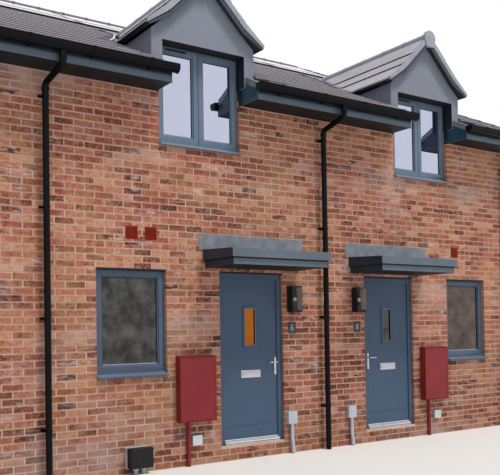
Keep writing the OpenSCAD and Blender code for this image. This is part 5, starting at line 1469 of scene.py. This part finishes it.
@dataclass
class Eaves:
    """Fascias, soffits and boxed ends, with half-round gutters and downpipes."""

    gutter_r: float = 0.056
    gutter_z: float = 4.423
    gutter_y: float = -0.4353
    gutter_side: float = 0.035
    wall: float = 0.003
    beyond: float = 0.037
    lead_skirt: float = 0.078
    pipe_r: float = 0.034
    pipe_out: float = 0.090
    pipe_top: float = 4.125
    neck_rise: float = 0.118
    neck_x: float = 0.060
    pipe_at: float = 0.050
    clip_z: Row = (0.54, 1.69, 2.84, 3.99)
    clip_h: float = 0.030
    rim_r: float = 0.0045
    stop_t: float = 0.006
    grip: float = 0.0005
    bracket_gap: float = 0.8
    bend: float = 0.045
    socket: float = 0.005
    sides: int = 28

    def section(self, r: float, top: float) -> list[Pair]:
        """Returns the outer line of a deep gutter of a radius, from rim to rim."""
        return [(-r, top), *arc((0, 0), r, 180, 360, 20), (r, top)]

    def band(self, outer: float, inner: float, up: float = 0.0) -> list[Pair]:
        """Returns the section of a strap or wall between two radii, its rims up from the gutter's."""
        top = self.gutter_side + up
        return self.section(outer, top) + self.section(inner, top)[::-1]

    def gutter(self, x0: float, x1: float) -> Shape:
        """Returns one run of gutter with rolled rims and stop ends."""
        r, top = self.gutter_r, self.gutter_side
        shape = Shape().prism(self.band(r, r - self.wall), "x", x0, x1)
        for y in (-r, r):
            shape.tube([(x0, y, top - 0.003), (x1, y, top - 0.003)], self.rim_r, 10)
        for x in (x0, x1 - self.stop_t):
            shape.prism(self.section(r + 0.004, top), "x", x, x + self.stop_t)
        # Moulded union halfway along a run, with a clip at its middle
        mid = (x0 + x1) / 2
        for half, more in ((0.065, 0.003), (0.012, 0.006)):
            shape.prism(self.band(r + more, r - self.grip, 0.002), "x", mid - half, mid + half)
        return shape.placed(Matrix.Translation((0, self.gutter_y, self.gutter_z)))

    def bracket(self) -> Shape:
        """Returns one gutter bracket about the gutter's centre: a strap with a clip and a back plate."""
        r, top = self.gutter_r, self.gutter_side
        shape = Shape().prism(self.band(r + 0.004, r - self.grip, 0.002), "x", -0.02, 0.02)
        shape.box((-0.02, -r - 0.009, top - 0.022), (0.02, -r - 0.001, top + 0.005))
        return shape.box((-0.016, r - 0.004, -0.06), (0.016, r + 0.0025, top))

    def pipe(self, lean: float) -> Shape:
        """Returns one downpipe about its own line on the wall, with swan neck, sockets and clips."""
        r, y, up, sides = self.pipe_r, -self.pipe_out, Vector((0, 0, self.bend)), self.sides
        foot = Vector((0, y, self.pipe_top))
        outlet = Vector((lean, self.gutter_y, self.pipe_top + self.neck_rise))
        top = Vector((lean, self.gutter_y, self.gutter_z - self.gutter_r + 0.002))
        shape = Shape().tube([(0, y, 0.0), (0, y, self.pipe_top - 0.02)], r, sides)
        # Each bend of the neck is an eased curve from one straight into the next
        way, steps = (outlet - foot).normalized() * self.bend, (0, 0.25, 0.5, 0.75, 1)
        low = [foot - up * (1 - t) ** 2 + way * t * t for t in steps]
        high = [outlet - way * (1 - t) ** 2 + up * t * t for t in steps]
        shape.tube(low + high + [top], r, sides)
        shape.tube([foot - Vector((0, 0, 0.075)), foot - Vector((0, 0, 0.028))], r + self.socket, sides)
        shape.tube([outlet + up, top], r + self.socket, sides)
        for z in self.clip_z:
            shape.tube([(0, y, z), (0, y, z + self.clip_h)], r + 0.004, sides)
            shape.box((-0.012, y + r, z), (0.012, -MM, z + self.clip_h))
            shape.box((-0.055, -0.012, z + MM), (0.055, -0.002, z + self.clip_h - MM))
        z = self.clip_z[1] + self.clip_h
        return shape.tube([(0, y, z), (0, y, z + 0.055)], r + 0.002, sides)

    def build(self) -> None:
        """Builds and shows boards, gutters and pipes."""
        # Faces that look down take the soffit's dark slate, darker as painted shade
        softened("eaves_boarding", "eaves_boards", (FASCIA, SOFFIT), "fascia_blue", 2.0,
                 pick=lambda middle, way: 1 if way.z < -0.9 else 0)
        softened("eaves_box_ends", "eaves_ends", (BOX_END, LEAD), "fascia_blue", 2.0,
                 pick=lambda middle, way: 1 if middle.z - PLAN.roof_at(middle) > -self.lead_skirt else 0)
        channel, spots, pipes = Shape(), [], Shape()
        for side in Side:
            place = PLAN.at_wall(side)
            for x0, x1 in PLAN.eaves_runs():
                x0, x1 = x0 - self.beyond, x1 + self.beyond
                channel.join(self.gutter(x0, x1).placed(place))
                count = math.ceil((x1 - x0) / self.bracket_gap)
                for i in range(count):
                    at = place @ Vector((x0 + (i + 0.5) * (x1 - x0) / count, self.gutter_y, self.gutter_z))
                    spots.append(Spot(at, (0, 0, side.turn)))
            for i in range(PLAN.houses + 1):
                x = -PLAN.half_w + i * PLAN.house_w + (self.pipe_at + self.pipe_r if i == 0 else -self.pipe_at)
                lean = 0.0 if i == PLAN.houses else self.neck_x
                pipes.join(self.pipe(lean).placed(PLAN.at_wall(side, x)))
        REPEATER.lay("gutter_runs", self.bracket(), spots, RAINWATER, "gutter_black", seed=151,
                     replaces=["gutters"], extra=channel)
        show("rainwater_pipes", pipes, [RAINWATER], "gutter_black", replaces=["downpipes"], round_mm=1.0)


# ---- Windows and doors


@dataclass
class Windows:
    """Casement windows with bevelled slate frames, gaskets, sills and panes with painted reflections."""

    recess: float = 0.045
    flange: float = 0.016
    sash: float = 0.076
    sash_gap: float = 0.007
    bead: float = 0.014
    sill_h: float = 0.066

    def gaskets(self, x0: float, x1: float, z0: float, z1: float, count: int) -> Shape:
        """Returns the black gaskets and the bottom beads of the lights that share a frame's opening."""
        shape = Shape()
        width = (x1 - x0 - 2 * self.flange - (count - 1) * self.sash_gap) / count
        s, y, z1 = self.sash - MM, self.recess + self.bead + 0.012, z1 - self.flange
        for i in range(count):
            a = x0 + self.flange + i * (width + self.sash_gap)
            b = a + width
            shape.ring((a + s, y, z0 + s), (b - s, y + 0.010, z1 - s), 0.009)
            # The bottom bead takes the pale bead colour, a painted highlight on a face that looks at the sky
            shape.box((a + s + 0.009, y - MM, z0 + s - MM), (b - s - 0.009, y + 0.009, z0 + s + 0.011), 1)
        return shape

    def build(self) -> None:
        """Builds and shows frames, gaskets, sills and glass."""
        def tint(middle: Vector, way: Vector) -> int:
            """Keeps the plain foil on the upper windows and on the lower frames' tops, which face the sky; gives the
            upper sills' noses a painted highlight and the rest of the lower frames painted shade.
            """
            if middle.z < PLAN.window[3] + 0.05:
                return 0 if way.z > 0.5 else 2
            return 1 if abs(way.y) > 0.9 and abs(middle.y) + PLAN.face_y > 0.02 else 0

        def room(middle: Vector, way: Vector) -> int:
            """Gives the upper panes the painted sky reflection, and the panes below, by turns, the plain glass over
            a dark room and the glass with a warm painted reflection.
            """
            return 0 if middle.z > PLAN.dormer_open[1] else 1 + int(middle.x // PLAN.house_w) % 2

        softened("window_frame_set", "window_frames", (FRAME, FRAME, PAINTED_SHADE_FRAME), "frame_grey", 2.5, pick=tint)
        softened("window_sill_set", "window_sills", (FRAME, SILL_HIGHLIGHT, PAINTED_SHADE_FRAME), "frame_grey", 4.0, pick=tint)
        (a0, a1, z0, z1), (half, dz0, dz1) = PLAN.window, PLAN.dormer_open
        z0, dz0, y = z0 + self.sill_h, dz0 + self.sill_h, self.recess
        ground = self.gaskets(a0, a1, z0, z1, 1).repeated(PLAN.fronts())
        upper = self.gaskets(-half, half, dz0, dz1, 2).repeated(PLAN.dormers())
        groove = Shape().box((a0 + 0.002, y - 0.003, z0 - 0.012), (a1 - 0.002, y + 0.01, z0 + 0.004))
        vents = Shape().box((-0.43, y - 0.014, dz1 - 0.054), (-0.166, y + 0.004, dz1 - 0.034))
        vents.box((0.002 - half, y - 0.003, dz0 - 0.007), (half - 0.002, y + 0.01, dz0 + 0.003))
        ground.join(upper, groove.repeated(PLAN.fronts()), vents.repeated(PLAN.dormers()))
        show("glazing_gaskets", ground, [GASKET_AND_SHADE, BEAD], "frame_grey")
        softened("window_panes", "window_glass", (SKY_GLASS, ROOM_GLASS, WARM_GLASS), "glass", 0.0, pick=room)


@dataclass
class Doors:
    """Grained doors with moulded cassettes, beaded panes, satin furniture and white, grooved thresholds."""

    moving: tuple[int, int] = (2, 3)
    leaf_y: float = 0.052
    vision: Rect = (1.160, 0.215, 1.590, 0.502)
    surround: float = 0.025
    bead: float = 0.006
    threshold: Pair = (0.764, 1.556)
    grooves: tuple[Pair, ...] = ((0.0075, 0.191), (0.017, 0.2145), (0.034, 0.2255))

    def pane_bead(self) -> Shape:
        """Returns the pale bead round one door's pane."""
        middle, width, centre, height = self.vision
        x, z, y = width / 2 - self.surround, height / 2 - self.surround, self.leaf_y
        return Shape().ring((middle - x, y - 0.004, centre - z), (middle + x, y + 0.004, centre + z), self.bead)

    def build(self) -> None:
        """Builds and shows the doors."""
        shut = [p for i, p in enumerate(PLAN.fronts()) if i not in self.moving]
        show("closed_door_beads", self.pane_bead().repeated(shut), [BEAD], "door_blue")
        softened("fixed_door_frames", "door_frames", DOOR_FRAME, "door_blue", 2.0)
        softened("fixed_door_leaves", "closed_doors", DOOR, "door_blue", 2.5)
        softened("door_thresholds", "thresholds", WHITE, "threshold_white", 3.0)
        grooves, (a0, a1) = Shape(), self.threshold
        for y, z in self.grooves:
            grooves.box((a0, y - 0.003, z - 0.004), (a1, y + 0.003, z + 0.0025))
        show("threshold_grooves", grooves.repeated(PLAN.fronts()), [GASKET_AND_SHADE], "threshold_white")
        softened("fixed_door_furniture", "closed_door_furniture", SATIN, "satin_metal", 1.5)
        for k, house in enumerate(self.moving, 1):
            softened(f"hung_door_frame_{k}", f"door_frame_{k}", DOOR_FRAME, "door_blue", 2.0)
            softened(f"hung_door_leaf_{k}", f"door_leaf_{k}", DOOR, "door_blue", 2.5, f"door_{k}")
            softened(f"hung_door_plates_{k}", f"door_furniture_{k}", SATIN, "satin_metal", 1.0, f"door_{k}")
            softened(f"lever_{k}", f"lever_handle_{k}", SATIN, "satin_metal", 1.0, f"handle_{k}")
            softened(f"flap_{k}", f"letter_flap_{k}", SATIN, "satin_metal", 1.0, f"letterbox_{k}")
            bead = self.pane_bead().placed(PLAN.fronts()[house])
            show(f"door_bead_{k}", bead, [BEAD], "door_blue", f"door_{k}")
            dress(ORANGE_REFLECTION_GLASS if k == 1 else DOOR_GLASS, f"door_glass_{k}")


@dataclass
class Porches:
    """Flat two-tier canopies with a black line painted as the shadow below the top tier, and dressed lead over them.
    """

    centre: float = 1.137
    half: float = 0.6825
    out: float = 0.610
    groove: Pair = (2.360, 2.374)
    proud: float = 0.0015

    def build(self) -> None:
        """Builds and shows the canopies and all the lead."""
        # Faces that look down take painted shade in the soffit's slate, faces that look sideways the painted side
        # shade
        softened("canopy_mouldings", "canopies", (CANOPY, CANOPY_SIDE_SHADE, SOFFIT), "canopy_grey", 3.0,
                 pick=lambda middle, way: 2 if way.z < -0.5 else int(abs(way.x) > 0.5))
        half, (low, high) = self.half + self.proud, self.groove
        # A black band standing just proud of the canopy paints the shadow below the top tier
        line = Shape().box((self.centre - half, -self.out - self.proud, low), (self.centre + half, -0.002, high))
        show("canopy_drip_grooves", line.repeated(PLAN.street_fronts()), [GASKET_AND_SHADE], "canopy_grey")
        dress(LEAD, "lead_flashings")


# ---- Fittings on the wall


@dataclass
class Fittings:
    """Meter boxes, lanterns, number plates, vents and service boxes."""

    lamp: Rect = (0.545, 0.160, 1.768, 0.328)
    lamp_d: float = 0.118
    tray_h: float = 0.024
    plate: Rect = (0.553, 0.122, 1.502, 0.143)
    plate_t: float = 0.008
    first_number: int = 2
    outlet: Rect = (2.7395, 0.276, 0.057, 0.289)
    outlet_d: float = 0.150
    base_d: float = 0.045
    ducts: Pair = (-0.046, 0.046)
    vents_from: float = 2.4
    bells: Pair = (1.1, 1.3)
    caps_from: float = 1.7
    margin: float = 0.010
    bulb_r: float = 0.032
    stroke: float = 0.008
    strokes: dict[str, tuple[tuple[int, int, int, int], ...]] = field(default_factory=lambda: {
        "2": ((0, 8, 4, 8), (4, 8, 4, 4), (0, 4, 4, 4), (0, 4, 0, 0), (0, 0, 4, 0)),
        "4": ((0, 8, 0, 4), (0, 4, 4, 4), (4, 8, 4, 0)),
        "6": ((0, 8, 4, 8), (0, 8, 0, 0), (0, 0, 4, 0), (4, 0, 4, 4), (0, 4, 4, 4)),
        "8": ((0, 8, 4, 8), (0, 8, 0, 0), (0, 0, 4, 0), (4, 0, 4, 8), (0, 4, 4, 4))})

    def digit(self, number: str, centre: Point) -> Shape:
        """Returns one digit of square strokes, 64 mm high, standing on a plate that faces the street."""
        shape, unit, (x, y, z) = Shape(), self.stroke, centre
        for x0, z0, x1, z1 in self.strokes[number]:
            shape.box((x + (min(x0, x1) - 2.5) * unit, y - 0.0015, z + (min(z0, z1) - 4.5) * unit),
                      (x + (max(x0, x1) - 1.5) * unit, y + 0.001, z + (max(z0, z1) - 3.5) * unit))
        return shape

    def kind(self, middle: Vector, way: Vector) -> int:
        """Tells a wall fitting's finish from its place: grey, terracotta, slate, steel, white or left out."""
        a, _ = PLAN.house_place(middle)
        a0, width, _, top = self.outlet
        if middle.z > self.vents_from:
            return 1
        if self.plate[2] - self.margin < middle.z < self.plate[2] + self.plate[3] + self.margin:
            return 2
        if self.bells[0] < middle.z < self.bells[1]:
            return 3
        if abs(a - a0) < width and middle.z < top + self.margin:
            return -1
        return 4 if a > self.caps_from else 0

    def outlet_box(self) -> Shape:
        """Returns one outlet box: a pale back box, a black cover and two pale cone-shaped ducts."""
        a, width, z0, z1 = self.outlet
        half, face, inner = width / 2, -self.outlet_d, width * 0.275
        shape = Shape().box((a - half, -self.base_d, z0), (a + half, 0.0, z1))
        shape.box((a - half + 0.004, face, z0 + 0.012), (a + half - 0.004, -self.base_d, z1 - 0.002), 1)
        shape.box((a - inner, face - 0.004, z0 + 0.03), (a + inner, face + 0.001, z1 - 0.06), 1)
        heights = (z0 + 0.012, z0 - 0.012, z0 - 0.020, 0.0)
        duct = Shape().tube([(0.0, 0.0, z) for z in heights], (0.036, 0.034, 0.022, 0.022))
        for x in self.ducts:
            place = Matrix.Translation((a + x, face / 2, 0.0)) @ Matrix.Rotation(math.pi / 4, 4, "Z")
            shape.join(duct.placed(place))
        return shape

    def build(self) -> None:
        """Builds and shows the fittings."""
        softened("meter_cabinets", "meter_boxes", METER, "meter_red", 4.0)
        for k in (1, 2):
            softened(f"meter_lid_skin_{k}", f"meter_door_{k}", METER, "meter_red", 6.0, f"meter_lid_{k}")
        a, width, z0, height = self.lamp
        bulb = Vector((a, -self.lamp_d / 2, z0 + height / 2))

        def lamp_kind(middle: Vector, way: Vector) -> int:
            """Tells the bulb and the inner sides from the lantern's case."""
            at, out = PLAN.house_place(middle)
            if abs(way.x) > 0.9 and abs(abs(at - a) - width / 2 + 0.005) < MM:
                return 2
            return 1 if (Vector((at, -out, middle.z)) - bulb).length < self.bulb_r else 0

        softened("lantern_set", "wall_lamps", (LAMP_BLACK, BULB, SIDE_PANE), "lamp_black", 1.5, pick=lamp_kind)
        half, face = width / 2 - 0.006, -self.lamp_d
        pane = Shape().box((a - half, face + 0.003, z0 + self.tray_h),
                           (a + half, face + 0.006, z0 + height - 0.011))
        show("lantern_panes", pane.repeated(PLAN.street_fronts()), [LAMP_GLASS], "glass")
        softened("wall_fitting_set", "wall_fittings", (BOX_GREY, TERRACOTTA, PLAQUE, SATIN, WHITE), "service_grey",
                 1.5, pick=self.kind)
        show("outlet_boxes", self.outlet_box().repeated(PLAN.street_fronts()[::2]), [BOX_GREY, BOX_BLACK],
             "service_grey", replaces=["wall_fittings"], round_mm=5.0)
        digits, (x, _, z, tall) = Shape(), self.plate
        for house, place in enumerate(PLAN.street_fronts()):
            number = str(self.first_number + 2 * house)
            digits.join(self.digit(number, place @ Vector((x, -self.plate_t, z + tall / 2))))
        show("house_numbers", digits, [DIGITS], "threshold_white")


@dataclass
class Insides:
    """Party walls and floors, seen only through the doors and panes."""

    def build(self) -> None:
        """Dresses the frame's own solids."""
        dress(PLASTER, "party_walls")
        dress(SLAB, "ground_floor")
        dress(DECK, "first_floor")


# ---- Stage


@dataclass
class Studio:
    """Pale floor, white backdrop, soft light and the photograph's camera."""

    lens: float = 55.519
    sensor: float = 36.0
    shift_y: float = 0.15204
    at: Triple = (-2.8125, -13.0386, 1.567)
    yaw: float = 0.6027
    pitch: float = 0.0198
    roll: float = -0.0158
    sun: float = 2.45
    sun_angle: float = math.radians(14)
    sun_from: Triple = (0.35, -0.8, 1.6)
    sky: float = 0.55
    floor_half: float = 150.0

    def camera(self) -> None:
        """Makes the camera."""
        ahead = Vector((math.sin(self.yaw), math.cos(self.yaw), 0))
        right = Vector((math.cos(self.yaw), -math.sin(self.yaw), 0))
        up = Vector((0, 0, 1))
        look = ahead * math.cos(self.pitch) + up * math.sin(self.pitch)
        top = up * math.cos(self.pitch) - ahead * math.sin(self.pitch)
        side = right * math.cos(self.roll) + top * math.sin(self.roll)
        head = top * math.cos(self.roll) - right * math.sin(self.roll)
        made = bpy.data.cameras.new("street_camera")
        made.lens, made.sensor_width, made.shift_y, made.clip_end = self.lens, self.sensor, self.shift_y, 500.0
        holder = bpy.data.objects.new("street_camera", made)
        holder.matrix_world = Matrix.Translation(self.at) @ Matrix((side, head, -look)).transposed().to_4x4()
        bpy.context.scene.collection.objects.link(holder)
        bpy.context.scene.camera = holder

    def light(self) -> None:
        """Makes the world and one wide, soft sun."""
        world = bpy.data.worlds.new("soft_studio")
        bpy.context.scene.world = world
        world.use_nodes = True
        tree = world.node_tree
        tree.nodes.clear()
        rays = add_node(tree, "ShaderNodeLightPath").outputs
        seen = rays["Is Camera Ray"]
        for ray in ("Is Glossy Ray", "Is Transmission Ray"):
            seen = add_node(tree, "ShaderNodeMath", {0: seen, 1: rays[ray]}, operation="MAXIMUM")
        sky = add_node(tree, "ShaderNodeBackground", {"Color": linear("#f2f6fc"), "Strength": self.sky})
        white = add_node(tree, "ShaderNodeBackground", {"Color": linear("#ffffff"), "Strength": 1.0})
        both = add_node(tree, "ShaderNodeMixShader", {0: seen, 1: sky, 2: white})
        add_node(tree, "ShaderNodeOutputWorld", {"Surface": both})
        lamp = bpy.data.lights.new("soft_sun", "SUN")
        lamp.energy, lamp.angle, lamp.color = self.sun, self.sun_angle, linear("#fffaf4")[:3]
        holder = bpy.data.objects.new("soft_sun", lamp)
        holder.rotation_euler = Vector(self.sun_from).to_track_quat("Z", "Y").to_euler()
        bpy.context.scene.collection.objects.link(holder)

    def floor(self) -> None:
        """Makes the floor."""
        half = self.floor_half
        mesh = Shape().box((-half, -half, -0.05), (half, half, -MM)).mesh("studio_floor")
        mesh.materials.append(FLOOR.material())
        ground = bpy.data.objects.new("studio_floor", mesh)
        bpy.context.scene.collection.objects.link(ground)

    def build(self) -> None:
        """Builds the stage and sets the view transform."""
        self.camera()
        self.light()
        self.floor()
        bpy.context.scene.view_settings.view_transform = "Standard"


def main() -> None:
    """Builds every sub-assembly in order."""
    logging.basicConfig(level=logging.INFO, format="%(name)s: %(message)s")
    for part in (Studio(), Brickwork(), MainRoof(), SolarArray(), Dormers(), Eaves(), Windows(), Doors(),
                 Porches(), Fittings(), Insides()):
        part.build()
        LOG.info("%s done", type(part).__name__)


if __name__ == "__main__":
    main()
